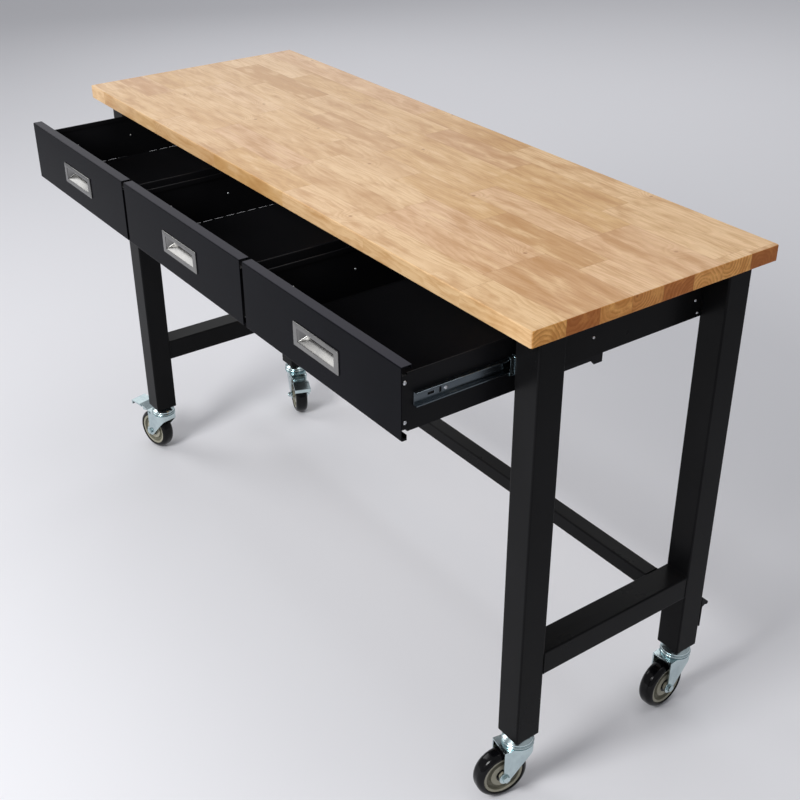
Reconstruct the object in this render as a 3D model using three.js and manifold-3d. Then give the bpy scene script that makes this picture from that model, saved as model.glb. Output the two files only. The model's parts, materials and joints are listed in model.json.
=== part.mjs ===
// A rolling workbench: a laminated wood top on a tubular steel frame, with three drawers side by side
// on ball bearing slides and four swivel casters, of which the left two have brakes.
// Millimetres, +Z up. X runs along the bench, and the drawers pull out towards -Y.
import * as THREE from "three";
import { mergeVertices } from "three/addons/utils/BufferGeometryUtils.js";
import Module from "manifold-3d";

const wasm = await Module();
wasm.setup();

// General
const GAP = 0.3; // between pieces that touch each other
const SHEET = 1.5; // folded sheet steel
const BEND_RADIUS = 2; // outside of a fold in the drawer fronts
const ARC_STEPS = 3; // straight steps in a quarter of a small round

// Worktop
const TOP_LENGTH = 1524;
const TOP_DEPTH = 527;
const TOP_THICKNESS = 28.5;
const TOP_HEIGHT = 975; // working surface above the floor
const TOP_CORNER_RADIUS = 3.5;
const TOP_EDGE_ROUND = 1.5;

// Legs and stretchers, all square or flat tube
const LEG_SIDE = 53;
const LEG_CORNER_RADIUS = 3;
const TUBE_WALL = 2;
const LEG_FOOT_PLATE = 4; // welded plate that takes the caster's stem
const LEG_END_INSET = 20.5; // from the end of the top to the outside of the legs
const LEG_FRONT_INSET = 36.5;
const LEG_REAR_INSET = 32.5;
const STRETCHER_TOP = 322; // above the floor
const SIDE_STRETCHER_HEIGHT = 50;
const REAR_STRETCHER_HEIGHT = 32;
const REAR_STRETCHER_DEPTH = 34;
const REAR_STRETCHER_SETBACK = 24; // clear space between it and the rear legs
const STRETCHER_CORNER_RADIUS = 3;

// Drawer housing: sheet panels that hang under the top
const PANEL_DROP = 105;
const PANEL_FLANGE = 15;
const PANEL_END_INSET = 2; // from the faces of the legs to the ends of a side panel
const REAR_PANEL_FLANGE = 20;
const REAR_PANEL_INSET = 28; // from the back of the legs to the back of the panel's web
const PARTITION_WIDTH = 8;
const PARTITION_FLANGE = 10;

// Drawers
const DRAWER_COUNT = 3;
const DRAWER_OPEN = 207; // how far the drawers stand open
const FRONT_PROUD = 1; // a closed front stands this far before the legs
const FRONT_TOP_GAP = 7.7; // under the worktop
const FRONT_HEIGHT = 122;
const FRONT_DEPTH = 19;
const FRONT_SIDE_GAP = 1; // to the housing on each side
const FRONT_TOP_LIP = 7;
const FRONT_FOOT_DEPTH = 10; // bottom fold, turned up at its back
const FRONT_FOOT_LIP = 9;
const TRAY_TOP_DROP = 21; // below the top of the front
const TRAY_FLOOR_RISE = 5.6; // above the bottom of the front
const TRAY_LENGTH = 388;
const TRAY_HEM = 8;
const TRAY_REAR_DROP = 10; // rear wall below the top of the sides
const TRAY_EAR_TOP_INSET = 1.5; // ears that reach into the front, from the tray's top
const TRAY_EAR_FOOT_INSET = 4.2; // and from its floor, clear of the front's bottom fold
const TRAY_EAR_LENGTH = 12;
const TRAY_STOP_LENGTH = 26; // tab under the rear end of each side
const TRAY_STOP_DROP = 8;
const SEAM_SLOT_LENGTH = 20; // slots along the fold between floor and side
const SEAM_SLOT_RISE = 3; // up the side, above the floor
const SEAM_SLOT_WIDTH = 1.5; // into the floor
const SEAM_SLOT_PITCH = 25.5;
const SEAM_END_MARGIN = 6; // least floor left at each end of a row of slots
const SLOTTED_TRAYS = ["left", "middle"]; // the folds of the right tray are closed

// Recessed pulls
const PULL_WIDTH = 130;
const PULL_HEIGHT = 42;
const PULL_PLATE = 2;
const PULL_BEVEL = 1;
const PULL_DROP = 3; // below the middle of the front
const PULL_MOUTH_WIDTH = 106;
const PULL_MOUTH_HEIGHT = 24;
const PULL_CUP_DEPTH = 13.5;
const PULL_CUP_WALL = 1.2;
const PULL_CUP_DRAW_IN = 9; // each end of the cup leans in this far
const PULL_FLOOR_RISE = 11; // the cup's floor climbs to its back
const PULL_CORNER_RADIUS = 2;
const PULL_CUTOUT_GAP = 0.7;

// Ball bearing slides, in two members
const SLIDE_THICKNESS = 12.4;
const SLIDE_WALL = 1.2;
const SLIDE_BELOW_TRAY_TOP = 44; // centre line
const CABINET_MEMBER_HEIGHT = 35.4;
const CABINET_MEMBER_LENGTH = 390;
const CABINET_MEMBER_DEPTH = 10;
const CABINET_MEMBER_SETBACK = 3.5; // behind the front of the legs
const DRAWER_MEMBER_HEIGHT = 23.8;
const DRAWER_MEMBER_LENGTH = 360;
const DRAWER_MEMBER_DEPTH = 8;
const DRAWER_MEMBER_SETBACK = 30; // behind the face of the drawer front
const MEMBER_LIP = 2.4; // the flanges' edges turn in by this
const MEMBER_SLOT = { fromFront: 31, length: 12, height: 4 }; // along the drawer member
const MEMBER_RELIEF = { fromFront: 48, length: 4, height: 9 }; // across it

// Casters
const WHEEL_DIAMETER = 102;
const TYRE_WIDTH = 32;
const TYRE_THICKNESS = 11;
const TYRE_SHOULDER = 10; // height of the rounded shoulder
const TYRE_BEAD_INSET = 1; // the tyre is this much narrower at the core
const WHEEL_STEPS = 20;
const TRAIL = 35; // from the swivel axis to the axle
const FORK_SHEET = 3;
const FORK_SIDE_GAP = 3.7; // between tyre and cheek
const FORK_TOP_GAP = 8; // between tyre and crown
const FORK_LEADING_REACH = 23;
const FORK_CORNER_RADIUS = 7; // where the cheeks bend round into the leading wall
const FORK_SKIRT = 13; // height of that wall below the crown
const FORK_TRAILING_REACH = 39;
const FORK_EYE_RADIUS = 12.5;
const RACE_RADIUS = 30;
const RACE_WIDTH = 12;
const RACE_HEIGHT = 6;
const RACE_NECK = 3; // the race stands in by this at its foot
const RACE_BEVEL = 2;
const RACE_RUNNING_GAP = 0.4;
const TOP_RACE_RADIUS = 28.5;
const TOP_RACE_HEIGHT = 15.3;
const TOP_RACE_COLLAR_RADIUS = 17;
const TOP_RACE_RIM = 4;
const TOP_RACE_COLLAR = 4;
const KINGPIN_RADIUS = 6;
const KINGPIN_HEAD_RADIUS = 10;
const KINGPIN_HEAD_HEIGHT = 4.5;
const STEM_LENGTH = 30; // above the foot of the leg
const RUNNING_GAP = 0.5; // round turning pins
const AXLE_RADIUS = 4;
const AXLE_HEX_RADIUS = 7.5;
const AXLE_HEAD_HEIGHT = 5.3;
const AXLE_NUT_HEIGHT = 6.5;
const AXLE_TAIL = 2;
const HUB_BOSS_RADIUS = 9.5;
const HUB_PLATE_RADIUS = 24;
const HUB_RIM_WIDTH = 5;
const HUB_RIM_INSET = 2; // rim's face below the tyre's side
const HUB_PLATE_INSET = 3;
const HUB_RECESS = 8;
const HUB_SLOPE = 2.5; // run of the sloping walls between rim, recess and plate
const ROUND_STEPS = 16;
const PIN_STEPS = 12;

// Brake pedals
const PEDAL_TRAVEL_DEGREES = 14;
const PEDAL_PIVOT_INSET = 6; // from the fork's trailing end
const PEDAL_PIN_RADIUS = 2.5;
const PEDAL_PIN_HEAD_RADIUS = 4;
const PEDAL_PIN_HEAD = 1.4;
const PEDAL_SHEET = 3.4;
const PEDAL_HEEL = 5;
const PEDAL_NECK_GAP = 2; // to each cheek
const PEDAL_WIDTH = 44;
const PEDAL_NECK_REACH = 10; // the neck runs level this far from the pivot
const PEDAL_RAMP_REACH = 41;
const PEDAL_RAMP_RISE = 9;
const PEDAL_REACH = 72;
const PEDAL_END_RISE = 11;
const PEDAL_LIP = 8;
const PEDAL_PLATE_START = 25;
const BRAKE_SHOE_GAP = 0.5; // to the tyre with the pedal down
const BRAKE_SHOE_START_DEGREES = 71; // round the axle, from level
const BRAKE_SHOE_END_DEGREES = 57;

// Hook behind the rear right leg
const HOOK_WIDTH = 30;
const HOOK_PLATE = 3;
const HOOK_PLATE_HEIGHT = 68;
const HOOK_BOTTOM = 178; // above the floor
const HOOK_REACH = 13;
const HOOK_DROP = 14;
const HOOK_ROOT = 22;
const HOOK_TIP_RADIUS = 2.5;

// Where each caster points at rest: the direction from its swivel axis to its axle, in degrees from +X.
// Of the two brakes, one stands up and the other is pressed.
const CASTERS = [
  { name: "front_left", side: -1, row: "front", heading: -167, brake: "up" },
  { name: "front_right", side: 1, row: "front", heading: -100, brake: null },
  { name: "rear_left", side: -1, row: "rear", heading: -21, brake: "pressed" },
  { name: "rear_right", side: 1, row: "rear", heading: -86, brake: null },
];

// Places worked out from the sizes above
const TOP_UNDERSIDE = TOP_HEIGHT - TOP_THICKNESS;
const LEG_OUTER_X = TOP_LENGTH / 2 - LEG_END_INSET;
const LEG_INNER_X = LEG_OUTER_X - LEG_SIDE;
const LEG_X = LEG_OUTER_X - LEG_SIDE / 2;
const LEG_FRONT_Y = -TOP_DEPTH / 2 + LEG_FRONT_INSET;
const LEG_BACK_Y = TOP_DEPTH / 2 - LEG_REAR_INSET;
const LEG_Y = { front: LEG_FRONT_Y + LEG_SIDE / 2, rear: LEG_BACK_Y - LEG_SIDE / 2 };

const HOUSING_X = LEG_INNER_X - GAP - SHEET; // inside of the side panels
const HOUSING_TOP = TOP_UNDERSIDE - GAP;
const HOUSING_BOTTOM = TOP_UNDERSIDE - PANEL_DROP;
const REAR_PANEL_Y = LEG_BACK_Y - REAR_PANEL_INSET - SHEET; // front of its web
const BAY_WIDTH = (2 * HOUSING_X - (DRAWER_COUNT - 1) * PARTITION_WIDTH) / DRAWER_COUNT;
const BAY_PITCH = BAY_WIDTH + PARTITION_WIDTH;
const bayCentre = (index) => (index - (DRAWER_COUNT - 1) / 2) * BAY_PITCH;

const FACE_Y = LEG_FRONT_Y - FRONT_PROUD - DRAWER_OPEN; // faces of the open drawers
const FRONT_WIDTH = BAY_WIDTH - 2 * FRONT_SIDE_GAP;
const FRONT_TOP = TOP_UNDERSIDE - FRONT_TOP_GAP;
const FRONT_BOTTOM = FRONT_TOP - FRONT_HEIGHT;
const TRAY_WIDTH = BAY_WIDTH - 2 * (SLIDE_THICKNESS + 2 * GAP);
const TRAY_TOP = FRONT_TOP - TRAY_TOP_DROP;
const TRAY_FLOOR = FRONT_BOTTOM + TRAY_FLOOR_RISE;
const TRAY_FRONT = FRONT_DEPTH + GAP; // behind the face
const EAR_Z = [TRAY_FLOOR + TRAY_EAR_FOOT_INSET, TRAY_TOP - TRAY_EAR_TOP_INSET];
const TRAY_BACK = TRAY_FRONT + TRAY_LENGTH;
const SLIDE_Z = TRAY_TOP - SLIDE_BELOW_TRAY_TOP;
const PULL_Z = FRONT_BOTTOM + FRONT_HEIGHT / 2 - PULL_DROP;

const WHEEL_RADIUS = WHEEL_DIAMETER / 2;
const CHEEK_INSIDE = TYRE_WIDTH / 2 + FORK_SIDE_GAP;
const CHEEK_OUTSIDE = CHEEK_INSIDE + FORK_SHEET;
const CROWN_BOTTOM = WHEEL_DIAMETER + FORK_TOP_GAP;
const CROWN_TOP = CROWN_BOTTOM + FORK_SHEET;
const RACE_TOP = CROWN_TOP + RACE_HEIGHT;
const TOP_RACE_BOTTOM = RACE_TOP + RACE_RUNNING_GAP;
const LEG_BOTTOM = TOP_RACE_BOTTOM + TOP_RACE_HEIGHT + GAP;

// Finishes
const finish = (color, roughness, metalness) =>
  new THREE.MeshStandardMaterial({ color, roughness, metalness });
const WOOD = finish(0xd6a263, 0.5, 0);
const FRAME_BLACK = finish(0x1c1c1f, 0.55, 0.2);
const DRAWER_BLACK = finish(0x2a2a2e, 0.5, 0.2);
const TRAY_BLACK = finish(0x18181a, 0.6, 0.2);
const NICKEL = finish(0x9d9a90, 0.35, 0.9);
const ZINC = finish(0xb9c4cc, 0.35, 0.9);
const TYRE_BLACK = finish(0x101012, 0.3, 0);
const HUB_BEIGE = finish(0x8b8778, 0.6, 0);

// Solids: closed geometry to and from the boolean library

function solid(geometry) {
  const bare = geometry.clone();
  bare.deleteAttribute("normal");
  bare.deleteAttribute("uv");
  const merged = mergeVertices(bare, 1e-4);
  const corners = merged.index.array;
  const faces = [];
  for (let i = 0; i < corners.length; i += 3) {
    const [a, b, c] = corners.subarray(i, i + 3);
    if (a !== b && b !== c && c !== a) faces.push(a, b, c);
  }
  const vertProperties = merged.getAttribute("position").array;
  return new wasm.Manifold(new wasm.Mesh({ numProp: 3, vertProperties, triVerts: new Uint32Array(faces) }));
}

const join = (...shapes) => shapes.map(solid).reduce((whole, next) => whole.add(next));

const cut = (whole, ...tools) => tools.map(solid).reduce((left, tool) => left.subtract(tool), whole);

function geometryOf(manifold) {
  const { vertProperties, triVerts } = manifold.getMesh();
  const geometry = new THREE.BufferGeometry();
  geometry.setAttribute("position", new THREE.BufferAttribute(vertProperties, 3));
  geometry.setIndex(new THREE.BufferAttribute(triVerts, 1));
  const facets = geometry.toNonIndexed();
  facets.computeVertexNormals();
  return facets;
}

// Outlines and the forms made from them

const point = (u, v) => new THREE.Vector2(u, v);

const polar = (u, v, radius, angle) => point(u + radius * Math.cos(angle), v + radius * Math.sin(angle));

// Points along an arc, both ends included.
function arc(u, v, radius, from, to, steps = ARC_STEPS) {
  const angles = Array.from({ length: steps + 1 }, (_, i) => from + ((to - from) * i) / steps);
  return angles.map((angle) => polar(u, v, radius, angle));
}

// A rectangle with rounded corners about a centre, counter-clockwise.
function roundedRectangle(width, height, radius, u = 0, v = 0) {
  const du = width / 2 - radius;
  const dv = height / 2 - radius;
  const corners = [[1, -1], [1, 1], [-1, 1], [-1, -1]];
  return corners.flatMap(([su, sv], i) => {
    const start = ((i - 1) * Math.PI) / 2;
    return arc(u + su * du, v + sv * dv, radius, start, start + Math.PI / 2);
  });
}

// An outline carried along an axis. Across X it is drawn in (y, z), across Y in (x, z), across Z in (x, y).
function extrude(outline, axis, from, to, hole) {
  const shape = new THREE.Shape(outline);
  if (hole) shape.holes.push(new THREE.Path(hole));
  const geometry = new THREE.ExtrudeGeometry(shape, { depth: to - from, bevelEnabled: false });
  const [x, y, z] = [[1, 0, 0], [0, 1, 0], [0, 0, 1]].map((v) => new THREE.Vector3(...v));
  const turn = new THREE.Matrix4();
  if (axis === "x") turn.makeBasis(y, z, x);
  if (axis === "y") turn.makeBasis(x, z, y.clone().negate());
  geometry.translate(0, 0, axis === "y" ? -to : from);
  return geometry.applyMatrix4(turn);
}

const block = ([x0, x1], [y0, y1], [z0, z1]) =>
  new THREE.BoxGeometry(x1 - x0, y1 - y0, z1 - z0).translate((x0 + x1) / 2, (y0 + y1) / 2, (z0 + z1) / 2);

// A profile of [radius, height] pairs, counter-clockwise, turned about Y or Z.
function revolve(profile, axis, steps = ROUND_STEPS) {
  const geometry = new THREE.LatheGeometry(profile.map(([r, h]) => point(r, h)), steps);
  return axis === "z" ? geometry.rotateX(Math.PI / 2) : geometry;
}

// A round bar along Y or Z.
const bar = (radius, axis, from, to, steps = ROUND_STEPS) =>
  revolve([[0, from], [radius, from], [radius, to], [0, to]], axis, steps);

// Convex rings of equally many points, each an outline in (x, z) at its own y, joined and capped.
function loft(rings) {
  const count = rings[0].outline.length;
  const positions = rings.flatMap(({ outline, y }) => outline.flatMap((p) => [p.x, y, p.y]));
  const faces = [];
  for (let ring = 0; ring + 1 < rings.length; ring += 1) {
    for (let i = 0; i < count; i += 1) {
      const a = ring * count + i;
      const b = ring * count + ((i + 1) % count);
      faces.push(a, b, a + count, b, b + count, a + count);
    }
  }
  const last = (rings.length - 1) * count;
  for (let i = 1; i + 1 < count; i += 1) {
    faces.push(0, i + 1, i);
    faces.push(last, last + i, last + i + 1);
  }
  const geometry = new THREE.BufferGeometry();
  geometry.setAttribute("position", new THREE.Float32BufferAttribute(positions, 3));
  return geometry.setIndex(faces);
}

const bench = new THREE.Group();

function add(name, shape, material, parent = bench) {
  const geometry = geometryOf(shape.isBufferGeometry ? solid(shape) : shape);
  const mesh = new THREE.Mesh(geometry, material);
  mesh.name = name;
  parent.add(mesh);
}

function groupAt(x, y, parent = bench) {
  const group = new THREE.Group();
  group.position.set(x, y, 0);
  parent.add(group);
  return group;
}

// Worktop: one glued-up slab with small round corners and eased edges.
function worktop() {
  const ease = TOP_EDGE_ROUND;
  const outline = roundedRectangle(TOP_LENGTH - 2 * ease, TOP_DEPTH - 2 * ease, TOP_CORNER_RADIUS - ease);
  const slab = new THREE.ExtrudeGeometry(new THREE.Shape(outline), {
    depth: TOP_THICKNESS - 2 * ease,
    bevelThickness: ease,
    bevelSize: ease,
    bevelSegments: 2,
  });
  add("worktop", slab.translate(0, 0, TOP_UNDERSIDE + ease), WOOD);
}

// An open-ended tube of flat sides along an axis.
function tube(width, height, radius, axis, from, to, u, v) {
  const outside = roundedRectangle(width, height, radius, u, v);
  const bore = roundedRectangle(width - 2 * TUBE_WALL, height - 2 * TUBE_WALL, radius / 2, u, v);
  return extrude(outside, axis, from, to, bore);
}

// Legs: square tube, closed at the foot by a plate with a hole for the caster's stem.
function leg(name, x, y) {
  const post = tube(LEG_SIDE, LEG_SIDE, LEG_CORNER_RADIUS, "z", LEG_BOTTOM, HOUSING_TOP, x, y);
  const plateSide = LEG_SIDE - TUBE_WALL;
  const plate = extrude(
    roundedRectangle(plateSide, plateSide, LEG_CORNER_RADIUS / 2, x, y),
    "z", LEG_BOTTOM, LEG_BOTTOM + LEG_FOOT_PLATE,
    arc(x, y, KINGPIN_RADIUS + GAP, 0, 2 * Math.PI, ROUND_STEPS).slice(1),
  );
  add(name, join(post, plate), FRAME_BLACK);
}

// Stretchers: one tube between the legs at each end, and one across the back between those two.
function stretchers() {
  const sideZ = STRETCHER_TOP - SIDE_STRETCHER_HEIGHT / 2;
  const front = LEG_FRONT_Y + LEG_SIDE + GAP;
  const back = LEG_BACK_Y - LEG_SIDE - GAP;
  for (const [name, side] of [["left", -1], ["right", 1]]) {
    const rail = tube(LEG_SIDE, SIDE_STRETCHER_HEIGHT, STRETCHER_CORNER_RADIUS, "y", front, back,
      side * LEG_X, sideZ);
    add(`side_stretcher_${name}`, rail, FRAME_BLACK);
  }
  const rearY = LEG_BACK_Y - LEG_SIDE - REAR_STRETCHER_SETBACK - REAR_STRETCHER_DEPTH / 2;
  const reach = LEG_INNER_X - GAP;
  const rearZ = STRETCHER_TOP - REAR_STRETCHER_HEIGHT / 2;
  const rail = tube(REAR_STRETCHER_DEPTH, REAR_STRETCHER_HEIGHT, STRETCHER_CORNER_RADIUS, "x",
    -reach, reach, rearY, rearZ);
  add("rear_stretcher", rail, FRAME_BLACK);
}

// Side panels: a sheet inside the legs at each end, folded in under the top.
// The fold stops at the rear panel.
function sidePanel(name, side) {
  const outer = side * (HOUSING_X + SHEET);
  const inner = side * HOUSING_X;
  const edge = side * (HOUSING_X - PANEL_FLANGE);
  const outline = [
    point(outer, HOUSING_BOTTOM), point(outer, HOUSING_TOP), point(edge, HOUSING_TOP),
    point(edge, HOUSING_TOP - SHEET), point(inner, HOUSING_TOP - SHEET), point(inner, HOUSING_BOTTOM),
  ];
  const front = LEG_FRONT_Y + PANEL_END_INSET;
  const back = LEG_BACK_Y - PANEL_END_INSET;
  const sheet = extrude(outline, "y", front, back);
  const across = [Math.min(edge, inner) - SHEET, Math.max(edge, inner) + SHEET];
  const notchX = side > 0 ? [across[0], inner] : [inner, across[1]];
  const notchZ = [HOUSING_TOP - 2 * SHEET, HOUSING_TOP + GAP];
  const notch = block(notchX, [REAR_PANEL_Y - GAP, back + GAP], notchZ);
  add(name, cut(solid(sheet), notch), FRAME_BLACK);
}

// Rear panel: a sheet between the side panels, folded back at its top and bottom.
function rearPanel() {
  const web = REAR_PANEL_Y;
  const edge = web + SHEET + REAR_PANEL_FLANGE;
  const outline = [
    point(web, HOUSING_BOTTOM), point(edge, HOUSING_BOTTOM), point(edge, HOUSING_BOTTOM + SHEET),
    point(web + SHEET, HOUSING_BOTTOM + SHEET), point(web + SHEET, HOUSING_TOP - SHEET),
    point(edge, HOUSING_TOP - SHEET), point(edge, HOUSING_TOP), point(web, HOUSING_TOP),
  ];
  const reach = HOUSING_X - GAP;
  add("rear_panel", extrude(outline, "x", -reach, reach), FRAME_BLACK);
}

// Partitions: a hanging channel between two bays, with feet folded out under the top.
function partition(name, x) {
  const web = PARTITION_WIDTH / 2;
  const foot = web + PARTITION_FLANGE;
  const half = [
    point(web, HOUSING_BOTTOM), point(web, HOUSING_TOP - SHEET), point(foot, HOUSING_TOP - SHEET),
    point(foot, HOUSING_TOP), point(web - SHEET, HOUSING_TOP), point(web - SHEET, HOUSING_BOTTOM + SHEET),
  ];
  const mirrored = half.map((p) => point(-p.x, p.y)).reverse();
  const outline = [...half, ...mirrored].map((p) => point(x + p.x, p.y));
  const front = LEG_FRONT_Y + CABINET_MEMBER_SETBACK;
  add(name, extrude(outline, "y", front, REAR_PANEL_Y - GAP), FRAME_BLACK);
}

// A slide member: a channel whose web stands at x = web and whose flanges reach towards x = web + reach.
function slideMember(web, reach, height, from, to) {
  const toward = Math.sign(reach);
  const half = height / 2;
  const wall = SLIDE_WALL;
  const edge = web + reach;
  const upper = [
    point(web, half), point(edge, half), point(edge, half - MEMBER_LIP),
    point(edge - toward * wall, half - MEMBER_LIP), point(edge - toward * wall, half - wall),
    point(web + toward * wall, half - wall),
  ];
  const lower = upper.map((p) => point(p.x, -p.y)).reverse();
  return extrude([...upper, ...lower], "y", from, to).translate(0, 0, SLIDE_Z);
}

// Cabinet members: fixed to the housing on both sides of a bay, open towards the drawer.
function cabinetMembers(drawer, x) {
  const front = LEG_FRONT_Y + CABINET_MEMBER_SETBACK;
  for (const [name, side] of [["left", -1], ["right", 1]]) {
    const web = x + side * (BAY_WIDTH / 2 - GAP);
    const channel = slideMember(web, -side * CABINET_MEMBER_DEPTH, CABINET_MEMBER_HEIGHT, front,
      front + CABINET_MEMBER_LENGTH);
    add(`slide_cabinet_${drawer}_${name}`, channel, ZINC);
  }
}

// Drawer front: a sheet folded back along its top and bottom, with two flanges for the tray's ears.
function drawerFront(name, drawer) {
  const r = BEND_RADIUS;
  const foot = FRONT_FOOT_DEPTH;
  const outline = [
    point(foot, FRONT_BOTTOM), point(foot, FRONT_BOTTOM + FRONT_FOOT_LIP),
    point(foot - SHEET, FRONT_BOTTOM + FRONT_FOOT_LIP), point(foot - SHEET, FRONT_BOTTOM + SHEET),
    point(SHEET, FRONT_BOTTOM + SHEET), point(SHEET, FRONT_TOP - SHEET),
    point(FRONT_DEPTH - SHEET, FRONT_TOP - SHEET), point(FRONT_DEPTH - SHEET, FRONT_TOP - FRONT_TOP_LIP),
    point(FRONT_DEPTH, FRONT_TOP - FRONT_TOP_LIP), point(FRONT_DEPTH, FRONT_TOP),
    ...arc(r, FRONT_TOP - r, r, Math.PI / 2, Math.PI),
    ...arc(r, FRONT_BOTTOM + r, r, Math.PI, 1.5 * Math.PI),
  ];
  const channel = extrude(outline, "x", -FRONT_WIDTH / 2, FRONT_WIDTH / 2);
  const flangeOuter = TRAY_WIDTH / 2 - SHEET - GAP;
  const flanges = [-1, 1].map((side) => {
    const reach = [side * flangeOuter, side * (flangeOuter - SHEET)].sort((a, b) => a - b);
    return block(reach, [SHEET / 2, SHEET + TRAY_EAR_LENGTH], EAR_Z);
  });
  const halfWidth = PULL_MOUTH_WIDTH / 2 + PULL_CUP_WALL + PULL_CUTOUT_GAP;
  const halfHeight = PULL_MOUTH_HEIGHT / 2 + PULL_CUP_WALL + PULL_CUTOUT_GAP;
  const cutoutZ = [PULL_Z - halfHeight, PULL_Z + halfHeight];
  const cutout = block([-halfWidth, halfWidth], [-SHEET, 2 * SHEET], cutoutZ);
  add(name, cut(join(channel, ...flanges), cutout), DRAWER_BLACK, drawer);
}

// Drawer tray: sides and floor of one folded sheet with hemmed top edges, a front and a rear wall,
// ears screwed into the drawer front, slots along the folds and a stop tab under each rear corner.
function drawerTray(name, drawer, slotted) {
  const half = TRAY_WIDTH / 2;
  const hem = half - 2 * SHEET;
  const wall = half - SHEET;
  const right = [
    point(half, TRAY_FLOOR), point(half, TRAY_TOP), point(hem, TRAY_TOP), point(hem, TRAY_TOP - TRAY_HEM),
    point(wall, TRAY_TOP - TRAY_HEM), point(wall, TRAY_FLOOR + SHEET),
  ];
  const left = right.map((p) => point(-p.x, p.y)).reverse();
  const folded = extrude([...right, ...left], "y", TRAY_FRONT, TRAY_BACK);
  const wallX = [-half + SHEET / 2, half - SHEET / 2];
  const wallFoot = TRAY_FLOOR + SHEET / 2;
  const frontWall = block(wallX, [TRAY_FRONT, TRAY_FRONT + SHEET], [wallFoot, TRAY_TOP - TRAY_HEM]);
  const rearWall = block(wallX, [TRAY_BACK - SHEET, TRAY_BACK], [wallFoot, TRAY_TOP - TRAY_REAR_DROP]);
  const tab = [
    point(TRAY_BACK - TRAY_STOP_LENGTH, TRAY_FLOOR + SHEET / 2),
    point(TRAY_BACK - TRAY_STOP_LENGTH + TRAY_STOP_DROP, TRAY_FLOOR - TRAY_STOP_DROP),
    point(TRAY_BACK, TRAY_FLOOR - TRAY_STOP_DROP), point(TRAY_BACK, TRAY_FLOOR + SHEET / 2),
  ];
  const sides = [[-half, -wall], [wall, half]];
  const ears = sides.map((x) => block(x, [TRAY_FRONT - TRAY_EAR_LENGTH, TRAY_FRONT + SHEET], EAR_Z));
  const tabs = sides.map(([x0, x1]) => extrude(tab, "x", x0, x1));

  const room = TRAY_LENGTH - 2 * (SHEET + SEAM_END_MARGIN) - TRAY_STOP_LENGTH;
  const slotCount = Math.floor((room - SEAM_SLOT_LENGTH) / SEAM_SLOT_PITCH) + 1;
  const slotInside = wall - SEAM_SLOT_WIDTH;
  const slotOutside = half + SHEET;
  const slotZ = [TRAY_FLOOR - SHEET, TRAY_FLOOR + SHEET + SEAM_SLOT_RISE];
  const slots = [];
  for (let i = 0; slotted && i < slotCount; i += 1) {
    const start = TRAY_FRONT + SHEET + SEAM_END_MARGIN + i * SEAM_SLOT_PITCH;
    for (const x of [[-slotOutside, -slotInside], [slotInside, slotOutside]]) {
      slots.push(block(x, [start, start + SEAM_SLOT_LENGTH], slotZ));
    }
  }
  add(name, cut(join(folded, frontWall, rearWall, ...ears, ...tabs), ...slots), TRAY_BLACK, drawer);
}

// Recessed pull: a bevelled plate round a scoop whose floor climbs to the back, drawn as one row of rings.
function drawerPull(name, drawer) {
  const ring = (width, height, y, rise = 0) => ({
    outline: roundedRectangle(width, height, PULL_CORNER_RADIUS, 0, PULL_Z + rise),
    y,
  });
  const wall = 2 * PULL_CUP_WALL;
  const bevel = 2 * PULL_BEVEL;
  const face = -GAP - PULL_PLATE;
  const backWidth = PULL_MOUTH_WIDTH - 2 * PULL_CUP_DRAW_IN;
  const backHeight = PULL_MOUTH_HEIGHT - PULL_FLOOR_RISE;
  const rise = PULL_FLOOR_RISE / 2;
  const rings = [
    ring(backWidth + wall, backHeight + wall, PULL_CUP_DEPTH + PULL_CUP_WALL, rise),
    ring(PULL_MOUTH_WIDTH + wall, PULL_MOUTH_HEIGHT + wall, -GAP),
    ring(PULL_WIDTH, PULL_HEIGHT, -GAP),
    ring(PULL_WIDTH, PULL_HEIGHT, face + PULL_BEVEL),
    ring(PULL_WIDTH - bevel, PULL_HEIGHT - bevel, face),
    ring(PULL_MOUTH_WIDTH + bevel, PULL_MOUTH_HEIGHT + bevel, face),
    ring(PULL_MOUTH_WIDTH, PULL_MOUTH_HEIGHT, face + PULL_BEVEL),
    ring(backWidth, backHeight, PULL_CUP_DEPTH, rise),
  ];
  add(name, loft(rings), NICKEL, drawer);
}

// Drawer members: fixed to the tray's sides, open towards the housing, running inside the cabinet members.
function drawerMembers(drawerName, drawer) {
  for (const [name, side] of [["left", -1], ["right", 1]]) {
    const web = side * (TRAY_WIDTH / 2 + GAP);
    const channel = slideMember(web, side * DRAWER_MEMBER_DEPTH, DRAWER_MEMBER_HEIGHT,
      DRAWER_MEMBER_SETBACK, DRAWER_MEMBER_SETBACK + DRAWER_MEMBER_LENGTH);
    const slots = [MEMBER_SLOT, MEMBER_RELIEF].map(({ fromFront, length, height }) => {
      const middle = DRAWER_MEMBER_SETBACK + fromFront;
      const through = [web - 2 * SLIDE_WALL, web + 2 * SLIDE_WALL];
      const along = [middle - length / 2, middle + length / 2];
      return block(through, along, [SLIDE_Z - height / 2, SLIDE_Z + height / 2]);
    });
    add(`slide_drawer_${drawerName}_${name}`, cut(solid(channel), ...slots), ZINC, drawer);
  }
}

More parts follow.
